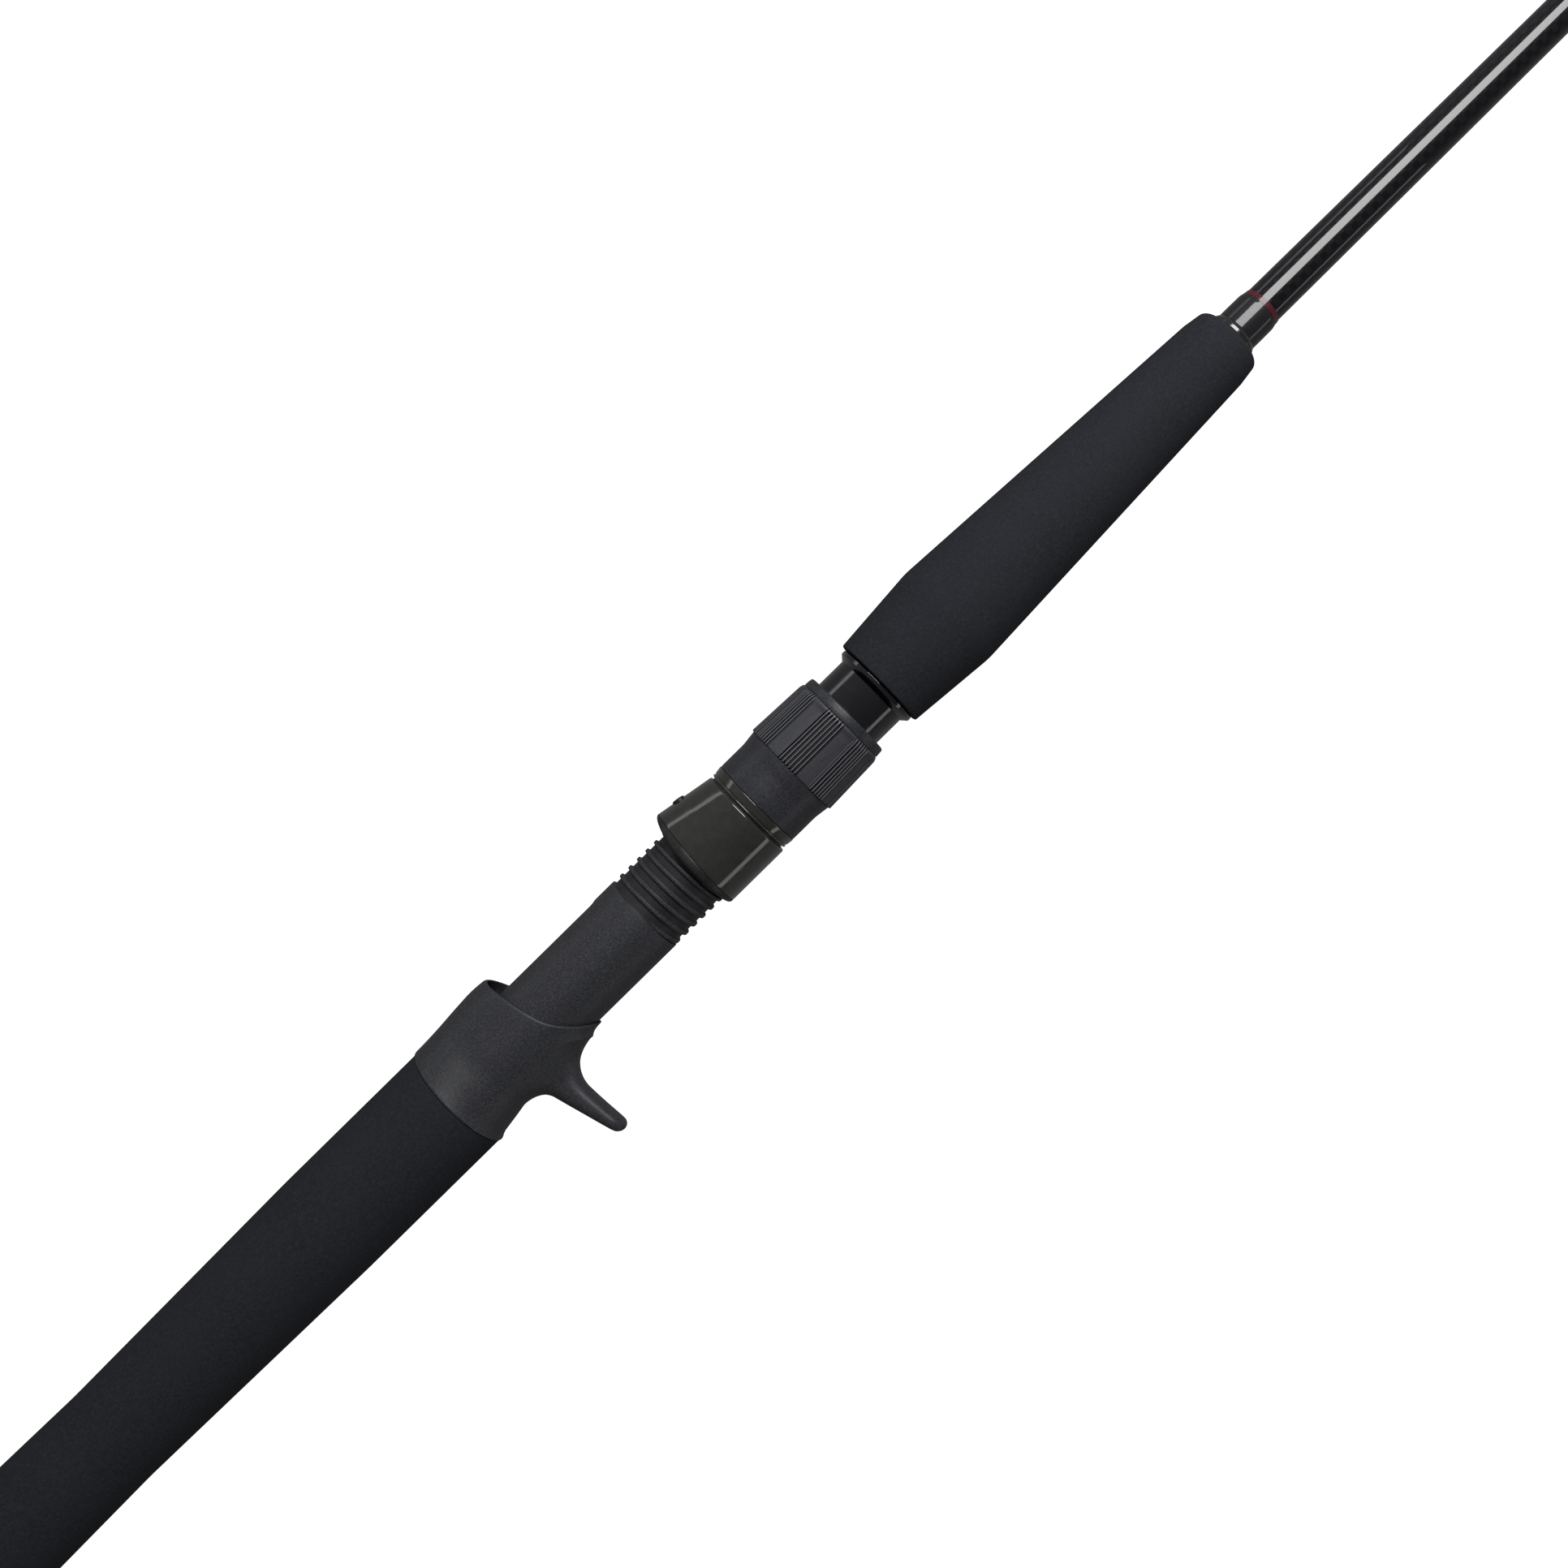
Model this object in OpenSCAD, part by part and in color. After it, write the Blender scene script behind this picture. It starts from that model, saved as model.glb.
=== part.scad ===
// Trigger casting rod: a one-piece tubular blank, a foam handle, a reel seat with a
// fixed hood, a trigger and a screw-driven moving hood, and a row of line guides.
//
// X runs along the rod from the butt to the tip. Y points to the reel and guide side,
// so the trigger points along -Y. Z is up as the rod lies on its side.
// The origin is the middle of the butt cap's end face. All sizes are in millimetres.

/* [Rod] */
// Overall length, from the butt cap to the front of the tip-top ring
rod_len = 1680; // [1380:10:2100]
// Outer diameter of the blank at its butt end
blank_butt_d = 13.2; // [12.4:0.1:14.4]
// Outer diameter of the blank at the winding check
blank_check_d = 10.7; // [8.8:0.1:11.6]
// Outer diameter of the blank at its tip
blank_tip_d = 2.4; // [2:0.1:3.4]
// Wall of the blank at its butt end
blank_wall = 1.6; // [1:0.1:2.2]
// Wall of the blank at its tip
blank_tip_wall = 0.6; // [0.4:0.05:0.8]
// Glue line between bonded pieces, measured on the radius
glue = 0.05; // [0.02:0.01:0.1]

/* [Butt cap] */
// Length of the butt cap
cap_len = 30; // [24:1:40]
// Outer diameter of the butt cap
cap_d = 33; // [32:0.5:42]
// Thickness of the cap's end wall
cap_end = 6; // [4:0.5:9]
// Thickness of the cap's side wall
cap_wall = 2.3; // [1.8:0.1:3.2]

/* [Rear grip] */
// Length of the rear grip, from inside the cap to the reel seat
rear_grip_len = 314; // [260:1:380]
// Diameter of the rear grip where it meets the reel seat
rear_grip_d = 30.1; // [28:0.1:36]
// Diameter of the rear grip at its waist
rear_waist_d = 27.8; // [25:0.1:30]
// Distance from the reel seat to the middle of the waist
rear_waist_back = 122; // [100:1:150]
// Length of the straight stretch behind the reel seat
rear_straight = 46; // [20:1:60]
// Diameter of the rear grip in front of the butt cap
rear_butt_d = 30.4; // [28:0.1:36]

/* [Reel seat] */
// Diameter of the smooth barrel that the reel foot lies on
barrel_d = 22.5; // [21.5:0.1:24]
// Height of the flat saddle above the rod's axis
saddle_h = 10.9; // [10.7:0.05:11.2]
// Length from the rear face of the seat to the start of the thread
barrel_len = 65.7; // [58:0.1:80]
// Length of the threaded stretch
thread_len = 66.3; // [60:0.1:80]
// Length of the plain spigot in front of the thread
spigot_len = 16; // [14:0.1:22]
// Diameter of the spigot
spigot_d = 18.8; // [18:0.1:19.4]
// Bore of the seat, which the arbors fill
seat_bore_d = 16; // [15:0.1:17]
// Number of arbors between the blank and the seat
arbor_count = 3; // [3:1:3]
// Length of each arbor
arbor_len = 14; // [8:1:20]

/* [Fixed hood and trigger] */
// Diameter of the collar at the rear face of the seat
collar_d = 29.6; // [28:0.1:35]
// Diameter of the collar at the foot of its slanted mouth
collar_mouth_d = 24; // [23.8:0.1:27]
// Height of the hood's crest above the rod's axis
crest_h = 16.6; // [15.6:0.1:18]
// Radius of the arch over the reel foot
crest_r = 10.5; // [9:0.1:12]
// Length of the collar along its top
collar_top_len = 24.5; // [20:0.1:28]
// Length of the collar along its belly
collar_belly_len = 38.3; // [32:0.1:46]
// Wall of the hood over the reel foot
hood_rim = 0.8; // [0.6:0.1:1.5]
// Depth of the pocket behind the top of the mouth
pocket_depth = 13; // [9:0.5:16]
// Distance of the trigger's tip below the rod's axis
trigger_drop = 35.2; // [28:0.1:44]
// Thickness of the trigger near its tip, along the rod
trigger_t = 3.6; // [3:0.1:5]
// Thickness of the trigger at its root, along the rod
trigger_root_t = 7; // [6:0.1:9]
// Width of the trigger near its tip
trigger_w = 8.6; // [7:0.1:11]
// Width of the trigger at its root
trigger_root_w = 18; // [14:0.1:20]
// Distance from the rear face of the seat to the back of the trigger's root
trigger_x = 16; // [14:0.1:18]
// Distance that the trigger's tip lies in front of its root
trigger_rake = 6.9; // [4:0.1:9]

/* [Thread] */
// Pitch of the right-hand seat thread
pitch = 3; // [2.5:0.1:3.5]
// Height of the thread ridge above its root
ridge_h = 0.7; // [0.5:0.05:0.8]
// Width of the ridge at its root
ridge_root_w = 1.15; // [0.9:0.05:1.2]
// Width of the ridge at its crest
ridge_crest_w = 0.8; // [0.6:0.05:0.9]
// Distance from the thread's start to the first crest on the reel side
first_crest = 2.55; // [2:0.05:3]
// Running gap between the moving pieces and the barrel, on the radius
slip = 0.3; // [0.25:0.05:0.4]

/* [Moving hood] */
// Distance from the rear face of the seat to the front edge of the moving hood
hood_x = 101.7; // [100:0.1:106]
// Length of the gloss shell along its belly
shell_belly_len = 17.6; // [15:0.1:22]
// Length of the gloss shell along its top
shell_top_len = 15.9; // [13:0.1:20]
// Length of the liner's lip behind the shell
lip_len = 1.7; // [1.2:0.1:3]
// Diameter of the moving hood round its belly
hood_d = 26.4; // [26.2:0.1:29]
// Height of the hood's top above the axis at its front edge
hood_front_h = 12.7; // [12.6:0.1:14]
// Slope of the hood's top towards the rear, in degrees
hood_slope = 9.6; // [6:0.1:12]
// Radius of the arch at the hood's rear
hood_arch_r = 10.2; // [9:0.1:12]
// Wall of the gloss shell
shell_wall = 0.9; // [0.6:0.05:1]
// Diameter of the stud that keys the liner in the shell
stud_d = 3.4; // [2.6:0.1:4]
// Distance from the hood's front edge to the stud
stud_back = 9.9; // [8.8:0.1:11]
// Height of the stud above the shell
stud_proud = 0.45; // [0.2:0.05:0.8]
// Angle round the rod from the hood's top to the stud, towards +Z
stud_turn = 6; // [0:0.5:9]

/* [Lock nut] */
// Gap between the hood and the slip ring
nut_gap = 0.6; // [0.4:0.1:1]
// Length of the slip ring
slip_ring_len = 3.1; // [2.5:0.1:5]
// Diameter of the slip ring
slip_ring_d = 26; // [25.6:0.1:28]
// Length of the nut's nose under the hood
nose_len = 7.8; // [5:0.1:8]
// Length of the smooth neck
neck_len = 11.9; // [10:0.1:15]
// Diameter of the smooth neck
neck_d = 25.8; // [25.6:0.1:29]
// Length of the ribbed sleeve
grip_sleeve_len = 17.4; // [14:0.1:22]
// Diameter of the ribbed sleeve at its rear end
grip_sleeve_d = 27.86; // [27.5:0.1:34]
// Diameter of the ribbed sleeve at its front end
grip_sleeve_front_d = 26.6; // [26.4:0.1:32]
// Length of the front shoulder
shoulder_len = 2.6; // [2:0.1:4]
// Number of rib groups round the sleeve
rib_groups = 8; // [6:1:9]
// Number of grooves in a group
grooves = 6; // [3:1:7]
// Angle between grooves in a group
groove_step = 4.3; // [3.5:0.1:4.6]
// Depth of a groove
groove_depth = 0.5; // [0.3:0.05:0.7]
// Turns of thread inside the nut
nut_turns = 5; // [3:1:5]

/* [Seat front] */
// Diameter of the gloss barrel in front of the nut
front_barrel_d = 20.74; // [20.3:0.02:20.9]
// Diameter of the front ring
front_ring_d = 23.8; // [22.5:0.1:26]
// Length of the front ring
front_ring_len = 2.4; // [2:0.1:4]

/* [Foregrip] */
// Length of the foregrip
foregrip_len = 123.7; // [100:0.1:150]
// Diameter of the foregrip's rear end
foregrip_rear_d = 26.2; // [24:0.1:32]
// Diameter of the foregrip at its crest
foregrip_d = 30.06; // [27:0.1:36]
// Distance from the foregrip's rear end to its crest
foregrip_crest = 24; // [18:0.1:30]
// Diameter at the front end of the taper
foregrip_nose_d = 20.6; // [18:0.1:24]
// Length of the rounded nose
foregrip_nose_len = 6; // [4:0.1:9]
// Diameter of the foregrip's front face
foregrip_face_d = 13.4; // [12.9:0.1:15]

/* [Winding check and butt wrap] */
// Length of the winding check
check_len = 2.2; // [1.5:0.1:4]
// Diameter of the winding check
check_d = 13.4; // [12.8:0.1:15]
// Length of the thread wrap in front of the winding check
butt_wrap_len = 8.2; // [6:0.1:20]
// Height of the wrap and its epoxy above the blank
wrap_h = 0.6; // [0.5:0.05:0.8]
// Length of the trim band
trim_len = 1.5; // [1:0.1:3]
// Height of the trim band above the blank
trim_h = 0.3; // [0.15:0.05:0.5]

/* [Line guides] */
// Share of even spacing in the guide layout, the rest closes up towards the tip
guide_evenness = 0.5; // [0.35:0.01:0.8]
// Outer diameter of the ceramic ring nearest the handle
first_ring_d = 16; // [13:0.5:20]
// Outer diameter of the smallest ceramic rings
small_ring_d = 8; // [6.5:0.5:10]
// Size of each ring as a share of the one behind it
ring_step = 0.78; // [0.65:0.01:0.95]
// Wall of a ceramic ring
ring_wall = 1.6; // [1.2:0.1:2]
// Length of a ceramic ring along the line
ring_len = 2.6; // [2:0.1:3.2]
// Wall of the metal hoop that holds a ring
hoop_wall = 1; // [0.8:0.1:1.4]
// Length of the hoop along the line
hoop_len = 1.8; // [1.4:0.1:2.2]
// Gap between the hoop and the guide foot
guide_stand = 3.4; // [2.6:0.1:6]
// Width of a guide's legs
leg_w = 1.5; // [1.2:0.1:1.6]
// Thickness of a guide's legs
leg_t = 1.3; // [1:0.1:1.6]
// Length of a guide foot on the first guide
foot_len = 17; // [13:0.5:22]
// Width of a guide foot
foot_w = 3.2; // [2.6:0.1:3.8]
// Thickness of a guide foot at its root
foot_t = 1; // [0.8:0.1:1.3]
// Length that a wrap runs past the end of its foot
wrap_over = 5; // [3:0.5:8]

/* [Tip-top] */
// Outer diameter of the tip-top's ceramic ring
tip_ring_d = 8; // [6.5:0.5:10]
// Length of the tube that fits over the tip
tip_tube_len = 12; // [9:0.5:16]
// Wall of the tube
tip_tube_wall = 0.45; // [0.35:0.05:0.6]

/* [Hidden] */

// Steps round a turned surface, and round a circle inside a hull
round_fn = 96;
hull_fn = 48;
// Steps in a rounded corner
corner_steps = 6;
// Length that a cut runs past the face it opens
past = 1;
// A slice thin enough to stand for a flat section inside a hull
slice = 0.1;

// Gap between the front ring and the foregrip
front_ring_gap = 0.3;
// Distance from the blank's tip to the back of the tip-top hoop
tip_reach = 7;

// Stations along the rod
seat_x = cap_end + rear_grip_len;
thread_x = seat_x + barrel_len;
thread_end = thread_x + thread_len;
seat_end = thread_end + spigot_len;
ring_x = seat_end - front_ring_len;
foregrip_x = seat_end + front_ring_gap;
check_x = foregrip_x + foregrip_len;
wrap_x = check_x + check_len;
trim_x = wrap_x + butt_wrap_len;
blank_x = cap_end + 2;
tip_x = rod_len - hoop_len - tip_reach;

// Colours
foam_color = [0.13, 0.13, 0.15];
rubber_color = [0.1, 0.1, 0.11];
matte_color = [0.2, 0.2, 0.21];
gloss_color = [0.12, 0.12, 0.12];
blank_color = [0.05, 0.05, 0.06];
wrap_color = [0.03, 0.03, 0.04];
trim_color = [0.35, 0.03, 0.05];
metal_color = [0.28, 0.28, 0.3];
ceramic_color = [0.07, 0.07, 0.08];
arbor_color = [0.75, 0.72, 0.62];

// Outer radius of the blank at a station: one slope to the winding check, one to the tip
function blank_r(x) = x < check_x
    ? lerp(blank_butt_d, blank_check_d, (x - blank_x) / (check_x - blank_x)) / 2
    : lerp(blank_check_d, blank_tip_d, (x - check_x) / (tip_x - check_x)) / 2;
function bore_r(x) = blank_r(x) + glue;
function lerp(a, b, t) = a + (b - a) * t;
function unit(v) = v / norm(v);

// A path of [x, y, corner radius] with its corners turned into arcs
function rounded(p) = [for (i = [0:len(p) - 1])
    each (i == 0 || i == len(p) - 1 || p[i][2] == 0)
        ? [[p[i][0], p[i][1]]]
        : arc_corner([p[i-1][0], p[i-1][1]], [p[i][0], p[i][1]], [p[i+1][0], p[i+1][1]], p[i][2])];
// The arc that rounds corner b of a path from a to c, no longer than half of each side.
// A corner within a tenth of a degree of straight stays a point.
function arc_corner(a, b, c, radius) =
    let (u = unit(a - b), v = unit(c - b))
    u * v < cos(179.9) ? [b] : arc_points(a, b, c, radius, u, v);
function arc_points(a, b, c, radius, u, v) =
    let (half = acos(u * v) / 2,
         room = min(norm(a - b), norm(c - b)) / 2,
         reach = min(radius / tan(half), room),
         r = reach * tan(half),
         centre = b + unit(u + v) * (r / sin(half)),
         from = b + u * reach - centre,
         to = b + v * reach - centre,
         sweep = 180 - 2 * half)
    [for (k = [0:corner_steps])
        centre + (from * sin(sweep * (1 - k / corner_steps)) + to * sin(sweep * k / corner_steps))
            / sin(sweep)];

// Puts a shape drawn in X and Y across the rod: its X turns to Y, its Y to Z, its Z to X
module across(x) {
    translate([x, 0, 0]) rotate([90, 0, 90]) children();
}
// A solid turned about the rod's axis from [x, radius] points
module turned(points) {
    across(0) rotate_extrude($fn = round_fn) polygon([for (p = points) [p[1], p[0]]]);
}
// A turned solid with a rounded outside, bored to fit over the blank
module on_blank(outline) {
    first = outline[0][0];
    last = outline[len(outline) - 1][0];
    turned(concat(rounded(outline), [[last, bore_r(last)], [first, bore_r(first)]]));
}
// A round bore along the rod's axis
module bore(from, to, radius) {
    across(from) cylinder(h = to - from, r = radius, $fn = round_fn);
}
// A straight flat bar between two points, its width lying across the rod's side view
module bar_between(a, b, width, thick) {
    d = b - a;
    translate(a) rotate([0, acos(d[2] / norm(d)), atan2(d[1], d[0])])
        translate([-width / 2, -thick / 2, 0]) cube([width, thick, norm(d)]);
}

// ---- Butt and rear grip ----

cap_r = cap_d / 2;
cap_socket_r = cap_r - cap_wall;
// Rounding of the cap's end
cap_round = 4;

module butt_cap() {
    color(rubber_color) turned(concat(
        [[0, 0]],
        rounded([[0, 0, 0], [0, cap_r, cap_round], [cap_len, cap_r, 1], [cap_len, cap_socket_r, 0]]),
        [[cap_end, cap_socket_r], [cap_end, 0]]));
}

module rear_grip() {
    spigot_r = cap_socket_r - glue;
    waist_x = seat_x - rear_waist_back;
    straight_x = seat_x - rear_straight;
    // Rounding where the tapers meet
    knee = 140;
    color(foam_color) on_blank([
        [cap_end + glue, spigot_r, 0],
        [cap_len + glue, spigot_r, 0],
        [cap_len + glue, rear_butt_d / 2, 1],
        [waist_x - rear_waist_back / 2, rear_butt_d / 2 - 0.2, knee],
        [waist_x, rear_waist_d / 2, knee],
        [straight_x, rear_grip_d / 2, knee],
        [seat_x, rear_grip_d / 2, 0]]);
}

// ---- Blank ----

module blank() {
    function wall(x) = lerp(blank_wall, blank_tip_wall, (x - blank_x) / (tip_x - blank_x));
    color(blank_color) turned([for (x = [blank_x, check_x, tip_x]) [x, blank_r(x)],
        for (x = [tip_x, check_x, blank_x]) [x, blank_r(x) - wall(x)]]
    );
}

// ---- Reel seat ----

// Arbors are spread over the seat, each one arbor length clear of its ends
module arbor(index) {
    x = lerp(seat_x + arbor_len, seat_end - 2 * arbor_len, index / (arbor_count - 1));
    outside = seat_bore_d / 2 - glue;
    color(arbor_color) on_blank([[x, outside, 0], [x + arbor_len, outside, 0]]);
}

barrel_r = barrel_d / 2;
// Crest and root of the seat thread, the crest just below the barrel
crest_line = barrel_r - glue;
root_r = crest_line - ridge_h;
// Length over which the saddle runs out in front
saddle_ramp = 2;
// Distance from the front end of the saddle's ramp to the thread
saddle_land = 6.4;

// A section across the rod: a circle round the axis and an arch above it
module arched_section(x, radius, arch_r, arch_top, inset) {
    across(x) linear_extrude(slice) {
        circle(r = radius - inset, $fn = hull_fn);
        translate([arch_top - arch_r, 0]) circle(r = arch_r - inset, $fn = hull_fn);
    }
}

module collar_mass() {
    // The arch's section stands this far behind the mouth's top
    arch_back = 2.5;
    arch_x = seat_x + collar_top_len - arch_back;
    hull() {
        arched_section(seat_x, collar_d / 2, collar_d / 2, collar_d / 2, 0);
        arched_section(arch_x, lerp(collar_d, collar_mouth_d, collar_top_len / collar_belly_len) / 2,
            crest_r, crest_h, 0);
        arched_section(seat_x + collar_belly_len, collar_mouth_d / 2,
            collar_mouth_d / 2, collar_mouth_d / 2, 0);
    }
}

// Everything in front of the slanted mouth
module past_mouth() {
    reach = 2 * crest_h;
    top = [seat_x + collar_top_len, crest_h];
    belly = [seat_x + collar_belly_len, -collar_mouth_d / 2];
    slant = (belly - top) / (top[1] - belly[1]);
    translate([0, 0, -reach]) linear_extrude(2 * reach) polygon([
        top - slant * reach, belly + slant * reach,
        [belly[0] + reach, -2 * reach], [belly[0] + reach, 2 * reach]]);
}

module trigger() {
    back = seat_x + trigger_x;
    // The root lies this far below the collar's mouth
    root_drop = 1;
    root_y = -collar_mouth_d / 2 - root_drop;
    tip_y = -trigger_drop;
    tip_back = back + trigger_rake;
    belly_end = seat_x + collar_belly_len;
    // The front face leans back by this much from the tip to the root
    lean = 1.6;
    front = tip_back + trigger_t - lean;
    // Length of the root behind the trigger, inside the collar
    buried = 8;
    // Length of the belly's lip at the mouth, and how much of it is cut back
    lip_t = 1.6;
    lip_back = 1.2;
    // Seen from the front, the flanks turn from the root's width to the blade's at this depth,
    // where the blade is still this much wider on each side than at its tip
    flank_depth = 5;
    flank = 0.8;
    rear_fillet = 3.2;
    side_fillet = 3;
    intersection() {
        translate([0, 0, -trigger_root_w / 2]) linear_extrude(trigger_root_w) polygon(rounded([
            [back - buried, root_y / 2, 0],
            [back - buried, root_y, 0],
            [back, root_y, rear_fillet],
            [tip_back, tip_y, trigger_t / 2],
            [tip_back + trigger_t, tip_y, trigger_t / 2],
            [front, (root_y + tip_y) / 2, 20],
            [front, root_y - 0.6, trigger_root_t],
            [belly_end - lip_t, root_y - 0.2, 1],
            [belly_end - lip_t + lip_back, root_y + lip_back, 0],
            [belly_end - buried / 2, root_y / 2, 0]]));
        across(seat_x) linear_extrude(collar_belly_len + past) polygon(rounded([
            [0, -trigger_root_w / 2, 0],
            [root_y, -trigger_root_w / 2, side_fillet],
            [root_y - flank_depth, -trigger_w / 2 - flank, 2 * side_fillet],
            [tip_y, -trigger_w / 2, trigger_w / 2.4],
            [tip_y, trigger_w / 2, trigger_w / 2.4],
            [root_y - flank_depth, trigger_w / 2 + flank, 2 * side_fillet],
            [root_y, trigger_root_w / 2, side_fillet],
            [0, trigger_root_w / 2, 0]]));
    }
}

// The space for the reel foot under the fixed hood, over the barrel
module foot_pocket() {
    from = seat_x + collar_top_len - pocket_depth;
    difference() {
        across(from) linear_extrude(collar_belly_len) translate([crest_h - crest_r, 0])
            circle(r = crest_r - hood_rim, $fn = round_fn);
        bore(seat_x, thread_x, barrel_r);
    }
}

// What is milled off the top of the barrel to make the flat saddle
module saddle_cut() {
    from = seat_x + collar_top_len - pocket_depth;
    to = thread_x - saddle_land - saddle_ramp;
    width = barrel_d;
    translate([0, 0, -width / 2]) linear_extrude(width) polygon([
        [from, saddle_h], [to, saddle_h], [to + saddle_ramp, barrel_r],
        [to + saddle_ramp, barrel_r + past], [from, barrel_r + past]]);
}

module reel_seat() {
    color(matte_color) difference() {
        union() {
            difference() {
                collar_mass();
                past_mouth();
                foot_pocket();
            }
            trigger();
            turned([[seat_x, 0], [seat_x, barrel_r], [thread_x, barrel_r], [thread_x, root_r],
                [thread_end, root_r], [thread_end, spigot_d / 2], [seat_end, spigot_d / 2],
                [seat_end, 0]]);
        }
        saddle_cut();
        bore(seat_x - past, seat_end + past, seat_bore_d / 2);
    }
}

// A helical ridge about the rod's axis. It starts at station x, at angle turn_from from +Y
// towards +Z, and rises along +X. Its ends run out over a quarter turn.
module ridge(x, turn_from, turns, root, crest, root_w, crest_w) {
    steps = 24;
    last = steps * turns;
    fade = steps / 4;
    function ring(i) =
        let (a = turn_from + 360 * i / steps,
             at = x + pitch * i / steps,
             rise = max(0.1, min(1, i / fade, (last - i) / fade)),
             top = lerp(root, crest, rise))
        [for (p = [[-root_w, root], [-crest_w, top], [crest_w, top], [root_w, root]])
            [at + p[0] / 2, p[1] * cos(a), p[1] * sin(a)]];
    sides = [for (i = [0:last - 1], k = [0:3])
        let (a = 4 * i + k, b = 4 * i + (k + 1) % 4)
        each [[a, b, a + 4], [b, b + 4, a + 4]]];
    ends = [[0, 3, 2], [0, 2, 1], [4 * last, 4 * last + 1, 4 * last + 2],
        [4 * last, 4 * last + 2, 4 * last + 3]];
    polyhedron(
        points = [for (i = [0:last]) each ring(i)],
        faces = root < crest ? concat(sides, ends) : [for (f = concat(sides, ends)) [f[2], f[1], f[0]]]);
}

module seat_thread() {
    // The ridge starts at the barrel's front face, three quarters of a turn before +Y
    before = 0.75;
    turns = floor((thread_len - first_crest) / pitch + before);
    color(matte_color) ridge(thread_x + first_crest - before * pitch, -360 * before, turns,
        root_r, crest_line, ridge_root_w, ridge_crest_w);
}

// The sleeve's step down from the thread's root, and the ring's least rise over the sleeve
root_step = 0.15;
ring_rise = 1.5;
front_barrel_r = max(front_barrel_d / 2, root_r - root_step);
front_ring_r = max(front_ring_d / 2, front_barrel_r + ring_rise);

module front_barrel() {
    color(gloss_color) turned([
        [thread_end + glue, spigot_d / 2 + glue], [thread_end + glue, front_barrel_r],
        [ring_x - glue, front_barrel_r], [ring_x - glue, spigot_d / 2 + glue]]);
}

module front_ring() {
    // The ring's rear side is a cone
    cone_len = 1.4;
    color(gloss_color) turned([
        [ring_x, spigot_d / 2 + glue], [ring_x, front_barrel_r + glue],
        [ring_x + cone_len, front_ring_r], [seat_end, front_ring_r],
        [seat_end, spigot_d / 2 + glue]]);
}

// ---- Moving hood ----

hood_front = seat_x + hood_x;
lip_x = hood_front - shell_belly_len - lip_len;
nut_bore_r = barrel_r + slip - glue;
// The nut's least wall over its bore, and how much wider than stated the hood and the nut
// are made where a wide barrel would leave less
nut_wall = 1.4;
wider = max(0, nut_bore_r + nut_wall - neck_d / 2);
hood_r = hood_d / 2 + wider;
hood_front_top = hood_front_h + wider;
// Wall of the liner, between the shell and the running gap round the barrel
liner_wall = hood_r - shell_wall - glue - nut_bore_r;
nose_x = hood_front + nut_gap - nose_len - slip;
// Height of the hood's top above the axis at a station
function hood_top(x) = hood_front_top + (hood_front - x) * tan(hood_slope);

// The hood's outer form between the lip and its front edge, drawn in by an inset
module hood_form(inset) {
    front_r = (hood_front_top + hood_r) / 2;
    hull() {
        arched_section(lip_x, hood_r, hood_arch_r + wider, hood_top(lip_x), inset);
        arched_section(hood_front - slice, front_r, front_r, hood_front_top, inset);
        across(hood_front - slice) linear_extrude(slice)
            translate([hood_front_top - front_r, 0]) circle(r = front_r - inset, $fn = hull_fn);
    }
}

// Everything behind the shell's rear edge, moved forward by a gap
module behind_shell(gap) {
    reach = 2 * hood_r;
    top_x = hood_front - shell_top_len + gap;
    belly_x = hood_front - shell_belly_len + gap;
    top = hood_top(top_x);
    lean = (top_x - belly_x) / (top + hood_r);
    translate([0, 0, -reach]) linear_extrude(2 * reach) polygon([
        [top_x + lean * reach, top + reach], [belly_x - lean * reach, -hood_r - reach],
        [belly_x - 2 * reach, -hood_r - reach], [belly_x - 2 * reach, top + reach]]);
}

// A round peg near the hood's top, square to its slope
module stud_peg(diameter, proud) {
    x = hood_front - stud_back;
    rotate([stud_turn, 0, 0]) translate([x, hood_top(x), 0])
        rotate([-90, 0, 0]) rotate([0, hood_slope, 0])
            translate([0, 0, -shell_wall - liner_wall / 2])
                cylinder(h = shell_wall + liner_wall / 2 + proud, d = diameter, $fn = 48);
}

module hood_shell() {
    color(gloss_color) difference() {
        hood_form(0);
        hood_form(shell_wall);
        bore(lip_x - past, hood_front + past, hood_r - shell_wall);
        behind_shell(0);
        stud_peg(stud_d + 2 * glue, past);
    }
}

module hood_liner() {
    color(matte_color) difference() {
        union() {
            difference() {
                hood_form(shell_wall + glue);
                bore(nose_x - slip, hood_front + past, hood_r);
                translate([nose_x - slip, -2 * hood_r, -2 * hood_r]) cube(4 * hood_r);
            }
            intersection() {
                hood_form(0);
                behind_shell(-glue);
            }
            stud_peg(stud_d, stud_proud);
        }
        hood_form(shell_wall + glue + liner_wall);
        bore(lip_x - past, hood_front, nut_bore_r);
    }
}

// ---- Lock nut ----

ring_back = hood_front + nut_gap;
neck_x = ring_back + slip_ring_len;
sleeve_x = neck_x + neck_len;
shoulder_x = sleeve_x + grip_sleeve_len;
nut_end = shoulder_x + shoulder_len;
// The nose runs inside the shell, and the slip ring sits on it
nose_r = hood_r - shell_wall - slip;
core_r = (hood_r + nut_bore_r) / 2;
neck_r = neck_d / 2 + wider;
sleeve_r = grip_sleeve_d / 2 + wider;
sleeve_front_r = grip_sleeve_front_d / 2 + wider;

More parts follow.
